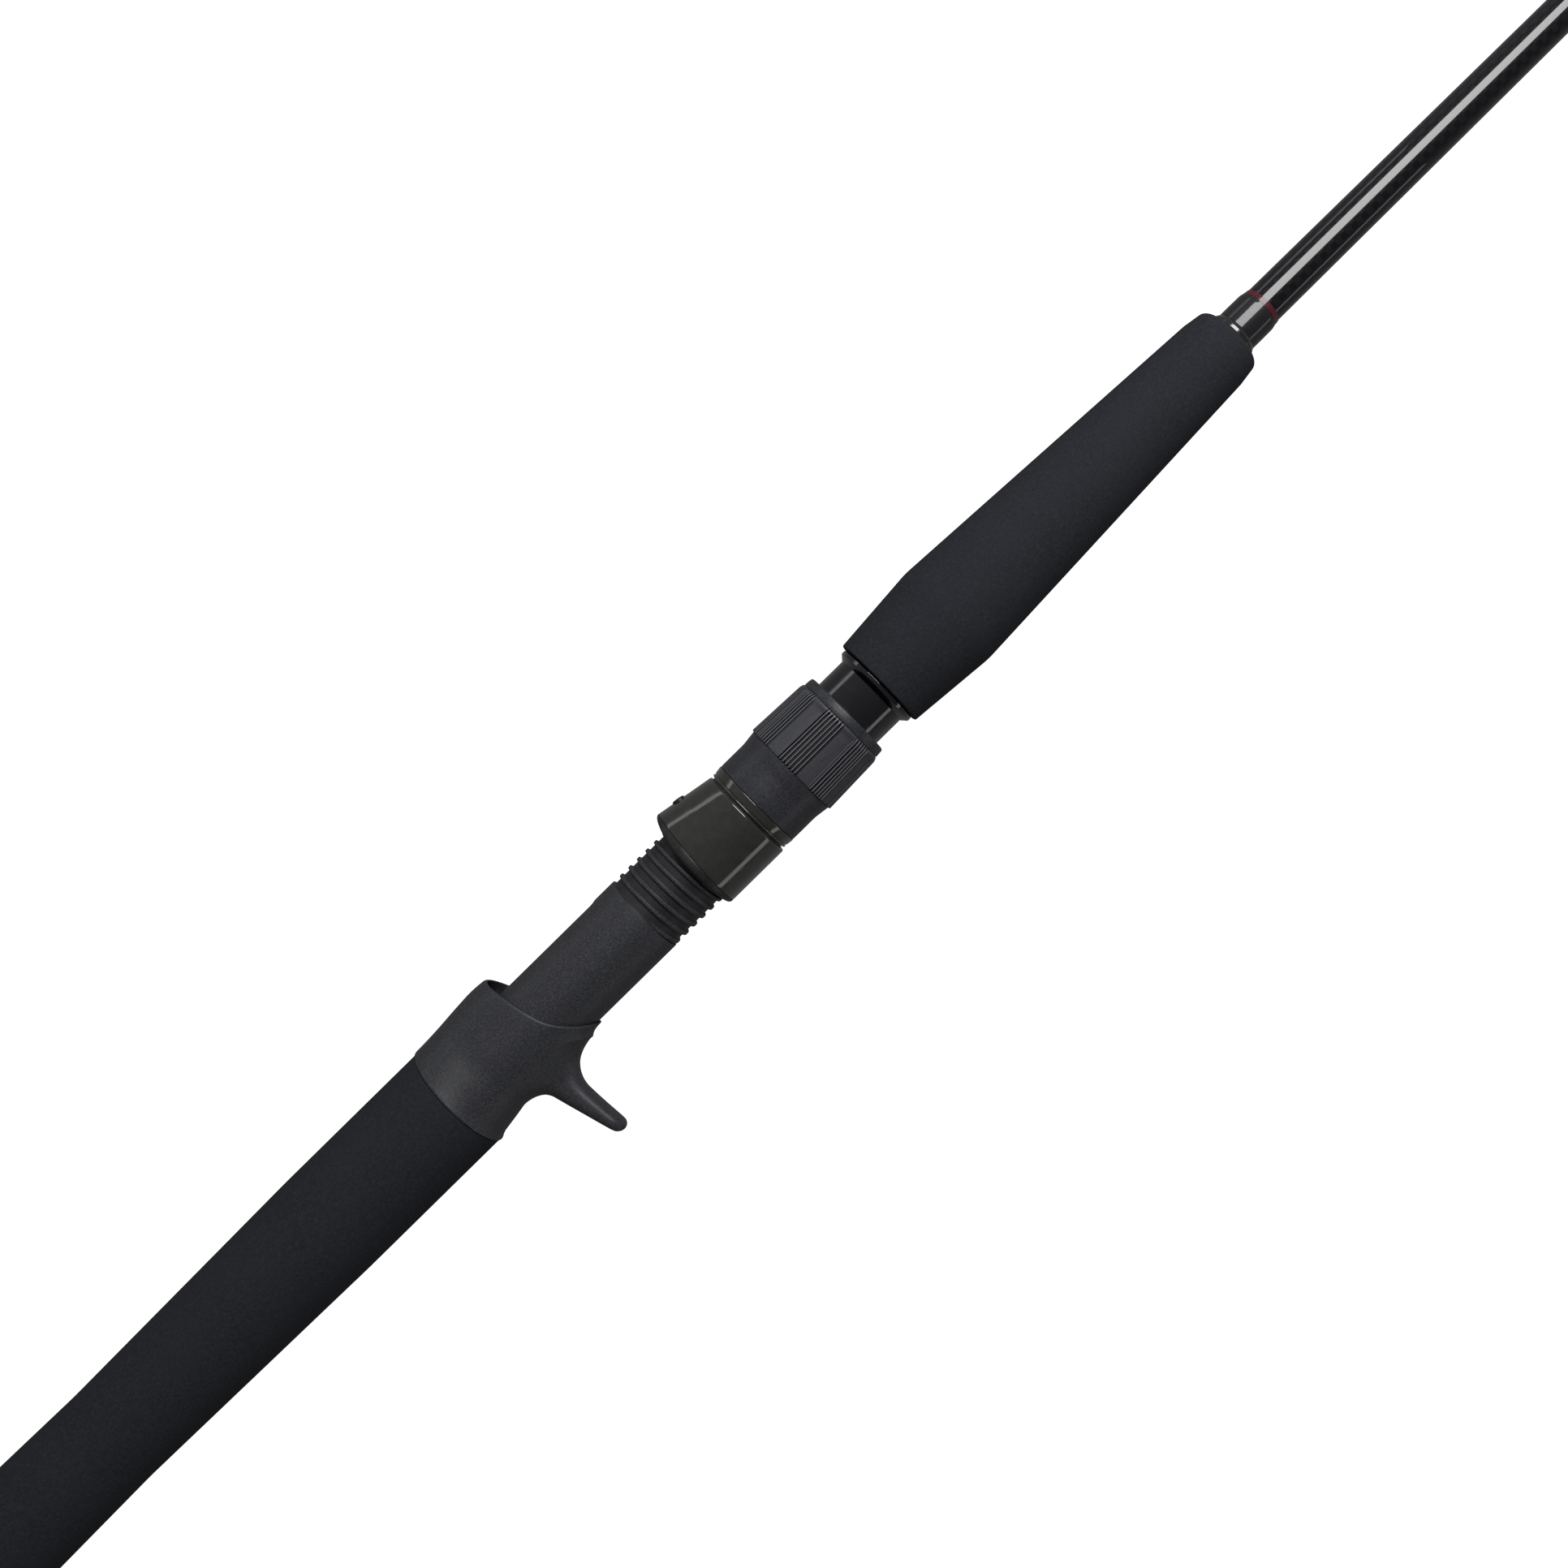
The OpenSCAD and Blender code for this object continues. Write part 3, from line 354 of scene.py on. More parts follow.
class Finish:
    """A node material with short calls for the nodes that it needs."""

    def __init__(self, name, color, roughness, **sockets):
        self.material = bpy.data.materials.new(name)
        self.material.use_nodes = True
        self.nodes = self.material.node_tree.nodes
        self.links = self.material.node_tree.links
        self.shader = self.nodes["Principled BSDF"]
        self.shader.inputs["Base Color"].default_value = (*color, 1)
        self.shader.inputs["Roughness"].default_value = roughness
        for socket, value in sockets.items():
            self.shader.inputs[socket.replace("_", " ")].default_value = value
        self.place = self.nodes.new("ShaderNodeTexCoord").outputs["Object"]

    def put(self, node, value, socket):
        if isinstance(value, (int, float)):
            node.inputs[socket].default_value = value
        else:
            self.links.new(value, node.inputs[socket])

    def math(self, operation, a, b=0.0, c=0.0):
        node = self.nodes.new("ShaderNodeMath")
        node.operation = operation
        for i, value in enumerate((a, b, c)):
            self.put(node, value, i)
        return node.outputs[0]

    def noise(self, size_mm, detail=2.0, roughness=0.5, stretch=(1, 1, 1)):
        """Noise from about 0.25 to 0.75, with features of about size_mm."""
        scaled = self.nodes.new("ShaderNodeMapping")
        scaled.inputs["Scale"].default_value = stretch
        self.links.new(self.place, scaled.inputs["Vector"])
        node = self.nodes.new("ShaderNodeTexNoise")
        node.inputs["Scale"].default_value = 1 / (size_mm * MM)
        node.inputs["Detail"].default_value = detail
        node.inputs["Roughness"].default_value = roughness
        self.links.new(scaled.outputs[0], node.inputs["Vector"])
        return node.outputs["Fac"]

    def cells(self, size_mm):
        node = self.nodes.new("ShaderNodeTexVoronoi")
        node.inputs["Scale"].default_value = 1 / (size_mm * MM)
        self.links.new(self.place, node.inputs["Vector"])
        return node.outputs["Distance"]

    def ramp(self, value, *stops):
        """Colours over a value: each stop is (position, (r, g, b))."""
        node = self.nodes.new("ShaderNodeValToRGB")
        marks = node.color_ramp.elements
        while len(marks) < len(stops):
            marks.new(0.5)
        for mark, (position, color) in zip(marks, stops):
            mark.position = position
            mark.color = (*color, 1)
        self.links.new(value, node.inputs[0])
        return node.outputs[0]

    def span(self, value, low, high, to_low, to_high):
        """A value from low to high, turned into one from to_low to to_high."""
        node = self.nodes.new("ShaderNodeMapRange")
        for i, v in enumerate((low, high, to_low, to_high)):
            node.inputs[i + 1].default_value = v
        self.links.new(value, node.inputs[0])
        return node.outputs[0]

    def vary(self, noise, low, high):
        """Noise turned into a value from low to high."""
        return self.span(noise, 0.3, 0.7, low, high)

    def mix(self, share, a, b):
        """Between two colours, or two values, by a share."""
        node = self.nodes.new("ShaderNodeMix")
        node.data_type = "RGBA"
        self.put(node, share, "Factor")
        for i, value in ((6, a), (7, b)):
            if isinstance(value, tuple):
                node.inputs[i].default_value = (*value, 1)
            else:
                self.links.new(value, node.inputs[i])
        return node.outputs[2]

    def color(self, value):
        self.links.new(value, self.shader.inputs["Base Color"])

    def done(self, color, roughness, *bumps):
        """The material, its colour, roughness and bumps linked."""
        self.color(color)
        self.links.new(roughness, self.shader.inputs["Roughness"])
        self.bump(*bumps)
        return self.material

    def bump(self, *heights):
        """Bumps of (height value, depth in mm, strength), one over the other."""
        normal = None
        for height, depth_mm, strength in heights:
            node = self.nodes.new("ShaderNodeBump")
            node.inputs["Distance"].default_value = depth_mm * MM
            node.inputs["Strength"].default_value = strength
            self.links.new(height, node.inputs["Height"])
            if normal:
                self.links.new(normal, node.inputs["Normal"])
            normal = node.outputs[0]
        self.links.new(normal, self.shader.inputs["Normal"])

    def xyz(self):
        parts = self.nodes.new("ShaderNodeSeparateXYZ")
        self.links.new(self.place, parts.inputs[0])
        return parts.outputs

    def round_the_rod(self, radius_mm):
        """Place along the rod and, at a radius, round it, both in mm, as two values."""
        x, y, z = self.xyz()
        angle = self.math("ARCTAN2", z, y)
        return self.math("MULTIPLY", x, 1 / MM), self.math("MULTIPLY", angle, radius_mm)

    def distance_from_axis(self):
        """Distance from the rod's axis, in mm."""
        _, y, z = self.xyz()
        squares = self.math("ADD", self.math("MULTIPLY", y, y), self.math("MULTIPLY", z, z))
        return self.math("MULTIPLY", self.math("SQRT", squares), 1 / MM)

    def wave(self, value, pitch):
        """A smooth wave from 0 to 1 that repeats every pitch."""
        turned = self.math("SINE", self.math("MULTIPLY", value, 2 * math.pi / pitch))
        return self.math("MULTIPLY_ADD", turned, 0.5, 0.5)


# Painted shade: the near-black put in the thread's valleys and the ribs' grooves, where shade falls
PAINTED_SHADE = (0.003, 0.003, 0.004)


def foam_finish():
    """Closed-cell foam: dark blue-black, sanded, with open pores and a faint speckle."""
    f = Finish("eva_foam", (0.016, 0.017, 0.021), 0.86, Specular_IOR_Level=0.12)
    pores = f.noise(0.42, 3, 0.62)
    specks = f.noise(0.9, 2, 0.7)
    patches = f.noise(14, 2)
    tone = f.math("ADD", f.math("MULTIPLY", pores, 0.5), f.math("MULTIPLY", specks, 0.5))
    base = f.ramp(tone, (0.36, (0.0078, 0.0083, 0.0108)), (0.5, (0.0118, 0.0125, 0.0158)),
                  (0.66, (0.0195, 0.0203, 0.0245)))
    return f.done(f.mix(f.vary(patches, 0.0, 0.35), base, (0.0145, 0.0152, 0.0188)),
                  f.vary(specks, 0.78, 0.94), (patches, 0.08, 0.3), (tone, 0.12, 0.55))


def rubber_finish():
    """Moulded rubber with a fine mould grain."""
    f = Finish("butt_rubber", (0.014, 0.014, 0.015), 0.62, Specular_IOR_Level=0.4)
    grain = f.noise(0.5, 4, 0.6)
    wear = f.noise(9, 3)
    return f.done(f.ramp(wear, (0.35, (0.011, 0.011, 0.012)), (0.7, (0.021, 0.021, 0.022))),
                  f.vary(grain, 0.52, 0.74), (grain, 0.06, 0.45))


def plastic_finish(name, dark, light, rough, valley_mm=0.0):
    """Satin moulded plastic: a spark-eroded mould grain and faint flow marks. Within valley_mm
    of the rod's axis the colour is painted near-black: painted shade between the thread's ridges."""
    f = Finish(name, dark, rough, Specular_IOR_Level=0.28)
    grain_mm = 0.22
    grain = f.noise(grain_mm, 3, 0.55)
    flow = f.noise(5, 3, stretch=(0.35, 1, 1))
    deep = tuple(c * 0.6 for c in dark)
    grained = f.ramp(f.noise(grain_mm * 2, 3, 0.6), (0.38, deep), (0.5, dark), (0.64, light))
    body = f.mix(f.vary(flow, 0.0, 0.35), grained, dark)
    # Painted shade: darker within valley_mm of the axis, in the thread's valleys and on any bore or
    # pocket floor as close in
    if valley_mm:
        from_axis = f.distance_from_axis()
        body = f.mix(f.span(from_axis, valley_mm - 0.2, valley_mm, 0.65, 0.0), body, PAINTED_SHADE)
    return f.done(body,
                  f.vary(grain, rough - 0.07, rough + 0.09),
                  (flow, 0.03, 0.25), (grain, 0.035, 0.5))


def rib_finish():
    """The nut's ribbed sleeve: satin rubber, with a painted highlight along its fine ribs' crests
    and painted shade in their grooves. The pattern follows the ribs' own angles round the rod."""
    dark, light = (0.0225, 0.023, 0.0272), (0.034, 0.0345, 0.0395)
    f = Finish("grip_sleeve", dark, 0.4, Specular_IOR_Level=0.3)
    grain = f.noise(0.16, 3, 0.55)
    body = f.ramp(f.noise(0.35, 3, 0.6), (0.38, dark), (0.62, light))
    angle = f.round_the_rod(1.0)[1]
    # Two whole turns keep the angle above zero
    turned = f.math("ADD", f.math("MULTIPLY", angle, 1 / RAD), 720 - RIB_FIRST + RIB_HALF_GROUP)
    in_group = f.math("MODULO", turned, 360 / RIB_GROUPS)
    phase = f.math("FRACT", f.math("MULTIPLY", in_group, 1 / RIB_PITCH))
    off_crest = f.math("ABSOLUTE", f.math("SUBTRACT", phase, 0.5))
    ribbed = f.math("LESS_THAN", in_group, 2 * RIB_HALF_GROUP)
    # Painted highlight on each rib's crest, fading to painted shade in the groove between ribs
    ribs = f.ramp(off_crest, (0.1, (0.075, 0.076, 0.083)), (0.18, dark), (0.29, PAINTED_SHADE))
    return f.done(f.mix(ribbed, body, ribs), f.vary(grain, 0.34, 0.5), (grain, 0.02, 0.5))


def gloss_finish(name, color, rough=0.09):
    """Polished black plastic: slight moulding waves, faint dust and haze."""
    f = Finish(name, color, rough, Specular_IOR_Level=0.5, Coat_Weight=0.35,
               Coat_Roughness=0.05)
    waves = f.noise(7, 2)
    haze = f.noise(2.2, 4, 0.6)
    lighter = tuple(c * 1.35 for c in color)
    return f.done(f.ramp(haze, (0.4, color), (0.75, lighter)),
                  f.span(haze, 0.35, 0.75, rough, rough + 0.12), (waves, 0.05, 0.18))


def carbon_finish():
    """Clear gloss over a plain weave of carbon ribbons, barely lighter than the black."""
    f = Finish("carbon_blank", (0.003, 0.003, 0.004), 0.3, Specular_IOR_Level=0.05,
               Coat_Weight=0.72, Coat_Roughness=0.02, Coat_IOR=1.5)
    radius, ribbon, fibre = 5.0, 1.8, 0.24
    x, round_mm = f.round_the_rod(radius)
    # An even number of ribbons goes round, so that the weave meets itself
    turns = 2 * math.pi * radius / ribbon
    even = 2 * round(turns / 2)
    fitted = f.math("MULTIPLY", round_mm, even / turns)
    along_x = f.math("GREATER_THAN", f.wave(x, 2 * ribbon), 0.5)
    round_it = f.math("GREATER_THAN", f.wave(fitted, 2 * ribbon), 0.5)
    checks = f.math("ABSOLUTE", f.math("SUBTRACT", along_x, round_it))
    fibres = f.mix(checks, f.wave(x, fibre), f.wave(fitted, fibre))
    weave = f.mix(checks, (0.0014, 0.0014, 0.0022), (0.0046, 0.0046, 0.006))
    drift = f.noise(30, 2)
    return f.done(f.mix(f.vary(drift, 0.1, 0.5), weave, (0.0025, 0.0025, 0.0034)),
                  f.span(checks, 0, 1, 0.28, 0.36), (fibres, 0.01, 0.08))


def thread_finish(name, dark, light):
    """Rod thread, turn beside turn, under a thick clear epoxy that flows in low waves."""
    f = Finish(name, dark, 0.4, Specular_IOR_Level=0.1, Coat_Weight=0.55,
               Coat_Roughness=0.03, Coat_IOR=1.5)
    thread_mm = 0.2
    x, _ = f.round_the_rod(1.0)
    turns = f.wave(x, thread_mm)
    flow = f.noise(4, 2)
    coat = f.nodes.new("ShaderNodeBump")
    coat.inputs["Distance"].default_value = 0.12 * MM
    coat.inputs["Strength"].default_value = 0.3
    f.links.new(flow, coat.inputs["Height"])
    f.links.new(coat.outputs[0], f.shader.inputs["Coat Normal"])
    return f.done(f.mix(turns, dark, light), f.vary(flow, 0.32, 0.5), (turns, 0.02, 0.35))


def metal_finish():
    """Dark plated steel, polished, with fine wear marks."""
    f = Finish("guide_metal", (0.16, 0.16, 0.17), 0.22, Metallic=1.0)
    marks = f.noise(0.5, 4, 0.65, stretch=(0.2, 1, 1))
    tone = f.noise(3, 3)
    return f.done(f.ramp(tone, (0.35, (0.12, 0.12, 0.13)), (0.7, (0.2, 0.2, 0.215))),
                  f.vary(marks, 0.16, 0.36), (marks, 0.01, 0.25))


def ceramic_finish():
    """Polished dark ceramic, a little cloudy."""
    f = Finish("ring_ceramic", (0.02, 0.02, 0.023), 0.08, Specular_IOR_Level=0.8)
    cloud = f.noise(1.2, 3)
    return f.done(f.ramp(cloud, (0.35, (0.014, 0.014, 0.017)), (0.7, (0.032, 0.032, 0.036))),
                  f.vary(cloud, 0.05, 0.13), (f.noise(0.3, 2), 0.004, 0.2))


def arbor_finish():
    """Pale rigid foam with open cells."""
    f = Finish("arbor_foam", (0.6, 0.55, 0.42), 0.85)
    cells = f.cells(0.6)
    f.color(f.ramp(cells, (0.1, (0.42, 0.38, 0.28)), (0.6, (0.66, 0.61, 0.48))))
    f.bump((cells, 0.15, 0.6))
    return f.material


def floor_finish():
    """Mottled paper with a glow of its own: white to the camera, dim to the rod, so that the
    rod's underside stays dark."""
    glow, dim_glow = 1.05, 0.12
    f = Finish("floor_paper", (0.07, 0.07, 0.07), 0.9, Specular_IOR_Level=0.05,
               Emission_Color=(1.0, 1.0, 1.0, 1.0), Emission_Strength=glow)
    mottle = f.noise(60, 3)
    f.color(f.ramp(mottle, (0.3, (0.062, 0.062, 0.062)), (0.7, (0.07, 0.07, 0.07))))
    seen = f.nodes.new("ShaderNodeLightPath").outputs["Is Camera Ray"]
    f.links.new(f.span(seen, 0, 1, dim_glow, glow), f.shader.inputs["Emission Strength"])
    return f.material


FOAM = foam_finish()
RUBBER = rubber_finish()
SEAT_PLASTIC = plastic_finish("seat_plastic", (0.0178, 0.0183, 0.0217),
                              (0.0315, 0.032, 0.0365), 0.48, valley_mm=ROOT_R + 0.22)
NUT_PLASTIC = plastic_finish("nut_plastic", (0.0155, 0.016, 0.0196),
                             (0.027, 0.0275, 0.0318), 0.4)
LINER_PLASTIC = plastic_finish("liner_plastic", (0.0075, 0.0075, 0.0085),
                               (0.013, 0.013, 0.014), 0.38)
GRIP_RUBBER = rib_finish()
HOOD_GLOSS = gloss_finish("hood_gloss", (0.0135, 0.0135, 0.012), 0.07)
BLACK_GLOSS = gloss_finish("gloss_plastic", (0.0018, 0.002, 0.0032), 0.06)
CHECK_GLOSS = gloss_finish("check_gloss", (0.006, 0.006, 0.0065), 0.12)
CARBON = carbon_finish()
BLACK_THREAD = thread_finish("thread_epoxy", (0.003, 0.003, 0.004), (0.012, 0.012, 0.014))
TRIM_THREAD = thread_finish("trim_thread", (0.032, 0.003, 0.006), (0.06, 0.006, 0.012))
METAL = metal_finish()
CERAMIC = ceramic_finish()
ARBOR_FOAM = arbor_finish()


# ---- grips and cap


def butt_cap():
    """A moulded cup with three grip rings and a shallow pad on its end."""
    r = extent("butt_cap", 2)[1]
    groove = 0.7
    outline = [(0, 0.0, 0), (0, 9.0, 0), (0, 9.6, 0.3), (0.9, 10.2, 0.3), (0.9, 11.2, 0.3),
               (0, 11.8, 0.3), (0, r, 4)]
    for x in (10, 15, 20):
        outline += [(x, r, 0.4), (x + 0.5, r - groove, 0.3), (x + 1.5, r - groove, 0.3),
                    (x + 2, r, 0.4)]
    outline += [(CAP_END, r, 1), (CAP_END, CAP_SOCKET_R, 0.2), (CAP_FLOOR, CAP_SOCKET_R, 0),
                (CAP_FLOOR, 0.0, 0)]
    make("butt_cap_mould", *turn(along(rounded(outline, 5)), 128), RUBBER, "rod", "butt_cap")


def grip(name, node, outline):
    """A soft foam sleeve."""
    foam = make(name, *sleeve(outline, 160, 3), FOAM, "rod", node)


def rear_grip():
    """A foam tube with a spigot in the cap, a slight waist and a straight end at the seat."""
    spigot_r = CAP_SOCKET_R - GLUE
    waist, straight_end, knee = SEAT_X - 122, SEAT_X - 46, 140
    grip("rear_grip_foam", "rear_grip", [
        (CAP_FLOOR + GLUE, spigot_r, 0), (CAP_END + GLUE, spigot_r, 0),
        (CAP_END + GLUE, 15.2, 1), (waist - 61, 15.0, knee), (waist, 13.9, knee),
        (straight_end, 15.05, knee), (SEAT_X, 15.05, 0.35), (SEAT_X, 14.3, 0)])


def foregrip():
    """A foam tube, widest near its rear and tapered to a rounded front."""
    shoulder, taper_end = FORE_X + 24, CHECK_X - 6
    grip("foregrip_foam", "foregrip", [
        (FORE_X, 12.1, 0), (FORE_X, 13.1, 0.7), (shoulder, 15.03, 26), (taper_end, 10.3, 5),
        (CHECK_X, 9.4, 2.4), (CHECK_X, 6.7, 0)])


# ---- reel seat

# The fixed hood's crest along the rod, and the collar's belly, as (distance from the seat's
# rear, height)
CREST = ((0, 14.75), (6, 15.5), (11, 16.0), (16.4, 16.4), (20.5, 16.6), (25, 16.3), (40, 13.0))
BELLY = ((0, 14.75), (3.6, 14.25), (7.2, 13.7), (10.5, 13.15), (16, 12.9), (28, 12.5),
         (40, 11.85))
COLLAR_TOP = 25.3
COLLAR_BELLY = 38.5
CREST_ARCH_R = 9.6
RIM = 0.8
# The pocket for the reel foot: where it starts, and its floor's radius
POCKET_X = 11.5
POCKET_FLOOR_R = 10.3
TRIGGER_ROOT_R = 12.9
TRIGGER_TIP = 35.2


def smooth_curve(x, stations):
    """A smooth curve through a few (x, value) stations."""
    xs = np.array([s[0] for s in stations], float)
    ys = np.array([s[1] for s in stations], float)
    slopes = np.gradient(ys, xs)
    i = np.clip(np.searchsorted(xs, x) - 1, 0, len(xs) - 2)
    width = xs[i + 1] - xs[i]
    t = np.clip((x - xs[i]) / width, 0, 1)
    return ((2 * t ** 3 - 3 * t ** 2 + 1) * ys[i] + (t ** 3 - 2 * t ** 2 + t) * width * slopes[i]
            + (3 * t ** 2 - 2 * t ** 3) * ys[i + 1] + (t ** 3 - t ** 2) * width * slopes[i + 1])


def fillet(depth, radius):
    """How far a fillet of this radius still stands out at a depth below its start."""
    rest = np.clip(radius - depth, 0, radius)
    return radius - np.sqrt(np.maximum(radius ** 2 - rest ** 2, 0))


def trigger_field(u, y, z):
    """The trigger: two raked faces that flare into the collar, with a rounded tip."""
    depth = -y - TRIGGER_ROOT_R
    root = np.hypot(y, z) - TRIGGER_ROOT_R
    rear = 16.0 + 0.29 * depth - fillet(root, 4.3)
    front = 24.85 + 0.0025 * np.maximum(depth - 2, 0) ** 2 + fillet(root, 9)
    half_w = 4.35 + 0.02 * (22 - depth) + fillet(root, 4.5)
    tip_r, pad_r, squareness = 1.8, 4.6, 2.7
    into_tip = np.clip((-y - (TRIGGER_TIP - tip_r)) / tip_r, 0, 1)
    taper = np.sqrt(np.maximum(1 - into_tip ** 2, 1e-4))
    into_pad = np.clip((-y - (TRIGGER_TIP - pad_r)) / pad_r, 0, 1)
    pad = np.sqrt(np.maximum(1 - into_pad ** 2.6, 1e-4))
    half_t = (front - rear) / 2 * taper
    middle = (front + rear) / 2
    across = np.abs(u - middle) / half_t
    side = np.abs(z) / (half_w * pad)
    spread = (across ** squareness + side ** squareness) ** (1 / squareness)
    shell = (spread - 1) * np.minimum(half_t, half_w * pad)
    return np.maximum(np.maximum(shell, -y - TRIGGER_TIP), y + 5)


def collar_field(x, y, z):
    """Collar, fixed hood and trigger in one blended form, open over the reel foot."""
    u = x - SEAT_X
    rho = np.hypot(y, z)
    crest = smooth_curve(u, CREST)
    belly = smooth_curve(u, BELLY)
    rise = crest - belly
    arch_r = belly + (CREST_ARCH_R - belly) * np.clip(rise / 3.2, 0, 1)
    arch = np.hypot(y - (crest - arch_r), z) - arch_r
    outer = soft_min(rho - belly, arch, 3.0)
    rear_round = soft_max(outer, -u, 0.5)
    form = soft_min(rear_round, np.maximum(trigger_field(u, y, z), -u + 4), 3.0)
    mouth = u - (COLLAR_TOP + 0.3 * (16.2 - y) + 5.1 * (np.clip(-y, 0, 14) / 11.8) ** 2)
    form = soft_max(form, mouth * 0.86, 0.55)
    pocket_arch = np.hypot(y - (crest - arch_r), z) - (arch_r - RIM)
    pocket = np.maximum(np.maximum(pocket_arch, POCKET_FLOOR_R - rho), POCKET_X - u)
    skirt = np.maximum(rho - BARREL_R + 0.15, 20 - u)
    form = soft_max(form, -pocket, 0.25)
    form = np.maximum(form, -skirt)
    return np.maximum(form, 9.0 - rho)


def reel_seat():
    """The seat in two meshes: the blended collar and trigger, and the turned barrel."""
    step = 0.3
    collar = surface(collar_field, (SEAT_X - 0.9, -TRIGGER_TIP - 1, -15.6),
                     (SEAT_X + COLLAR_BELLY + 2, 17.6, 15.6), step)
    make("reel_seat_collar", *collar, SEAT_PLASTIC, "rod", "reel_seat", sharp=60)

    barrel_x, saddle_x = SEAT_X + 0.3, SEAT_X + 11
    saddle_end, runout = THREAD_X - 8.4, 2

    def saddle(x, r, a):
        """The radius, cut down to the flat that the reel foot lies on."""
        top = SADDLE_H + (BARREL_R - SADDLE_H) * clamp((x - saddle_end) / runout)
        if x < saddle_x or r < ROOT_R or math.cos(a) <= 0 or x > THREAD_X:
            return r
        return min(r, top / math.cos(a))

    barrel = along(rounded([
        (barrel_x, BARREL_R, 0), (saddle_end, BARREL_R, 0), (saddle_end + runout, BARREL_R, 0),
        (THREAD_X, BARREL_R, 0.12), (THREAD_X, ROOT_R, 0.25), (THREAD_END, ROOT_R, 0),
        (THREAD_END, FRONT_TUBE_R, 0), (SEAT_END, FRONT_TUBE_R, 0), (SEAT_END, BORE_R, 0),
        (barrel_x, BORE_R, 0), (barrel_x, BARREL_R, 0)]), 4)[:-1]
    make("reel_seat_barrel", *turn(barrel, 192, shape=saddle), SEAT_PLASTIC, "rod", "reel_seat")


def helix(start, turn_from, turns, profile, fade, steps=72):
    """A closed ridge round the rod. profile is (x, r) points, and fade(t) gives the share of
    the ridge's height at t turns from its start."""
    foot = profile[0][1]
    rings = []
    for i in range(steps * turns + 1):
        t = i / steps
        a = 2 * math.pi * (t + turn_from)
        share = fade(t)
        section = []
        for x, r in profile:
            radius = foot + (r - foot) * share
            section.append((start + x + PITCH * t, radius * math.cos(a), radius * math.sin(a)))
        rings.append(section)
    return skin(rings, close_rings=False, caps=True)


def seat_thread():
    """The seat's ridge, with rounded crests, run out at both ends."""
    turns = int((THREAD_END - THREAD_X - FIRST_CREST) / PITCH + 0.75)

    def fade(t):
        return max(0.25, min(1, t / 0.12, (turns - t) / 0.25))

    half_foot, half_crest, before = 0.66, 0.42, 0.75
    profile = rounded([
        (-half_foot, ROOT_R - 0.3, 0), (-half_foot, ROOT_R + 0.02, 0.1),
        (-half_crest, CREST_R, 0.16), (half_crest, CREST_R, 0.16),
        (half_foot, ROOT_R + 0.02, 0.1), (half_foot, ROOT_R - 0.3, 0)], 3)
    ridge = helix(THREAD_X + FIRST_CREST - before * PITCH, -before, turns, profile, fade)
    make("seat_thread_ridge", *ridge, SEAT_PLASTIC, "rod", "seat_thread")


def front_barrel():
    """The gloss sleeve on the seat's front tube, and the flange with a conical rear side."""
    bore, barrel_r, flange_r = FRONT_TUBE_R + GLUE, 10.37, 11.9
    start, end = THREAD_END + GLUE, RING_X - GLUE
    tube = rounded([(start, bore, 0), (start, barrel_r, 0.2), (end, barrel_r, 0), (end, bore, 0)])
    make("front_barrel_sleeve", *turn(along(tube)), BLACK_GLOSS, "rod", "front_barrel")
    flange = rounded([(RING_X, bore, 0), (RING_X, 10.45, 0.1), (RING_X + 1.3, flange_r, 0.25),
                      (SEAT_END, flange_r, 0.25), (SEAT_END, bore, 0)])
    make("front_ring_flange", *turn(flange), BLACK_GLOSS, "rod", "front_ring")


# ---- moving hood

HOOD_R = 13.2
HOOD_ARCH_R = 10.2
HOOD_FRONT_TOP = 12.7
HOOD_SLOPE = math.tan(9.6 * RAD)
SHELL_WALL = 0.9
# The clear radius over the thread, inside the hood and the nut
RUNNING_R = 11.5
HOOD_STEPS = 192


def hood_top(x):
    """Height of the hood's crest at a station."""
    return HOOD_FRONT_TOP + (HOOD_FRONT - x) * HOOD_SLOPE


def hood_radius(x, a):
    """Radius of the hood's outside at a station and an angle from the reel side: the hull of
    the belly circle and the arch circle over it."""
    share = clamp((HOOD_FRONT - x) / (HOOD_FRONT - LIP_X))
    front_r = (HOOD_R + HOOD_FRONT_TOP) / 2
    belly_r = front_r + (HOOD_R - front_r) * share
    belly_y = -(HOOD_R - front_r) * (1 - share)
    arch_r = front_r + (HOOD_ARCH_R - front_r) * share
    arch_y = hood_top(x) - arch_r

    def form(y, z):
        rise = arch_y - belly_y
        lean = (belly_r - arch_r) / rise if rise > abs(belly_r - arch_r) else 1
        straight = math.sqrt(max(1 - lean * lean, 0))
        py, pz = y - belly_y, abs(z)
        k = py * straight - pz * lean
        if rise <= 0 or k < 0 or straight == 0:
            return math.hypot(py, pz) - belly_r
        if k > straight * rise:
            return math.hypot(py - rise, pz) - arch_r
        return pz * straight + py * lean - belly_r

    low, high = 5.0, 24.0
    for _ in range(26):
        middle = (low + high) / 2
        if form(middle * math.cos(a), middle * math.sin(a)) < 0:
            low = middle
        else:
            high = middle
    return low


def shell_edge(y):
    """The station of the shell's rear edge at a height towards the reel side."""
    top_x, belly_x = HOOD_FRONT - 15.9, HOOD_FRONT - 17.6
    return belly_x + (top_x - belly_x) * (y + HOOD_R) / (hood_top(top_x) + HOOD_R)


def lip_edge(y):
    """The station of the liner's rear edge: it leans forward towards the top."""
    up, down = max(y, 0) / 15.7, max(-y, 0) / 13.2
    return LIP_X + 0.02 + 2.6 * up ** 2.2 + 0.4 * down ** 2


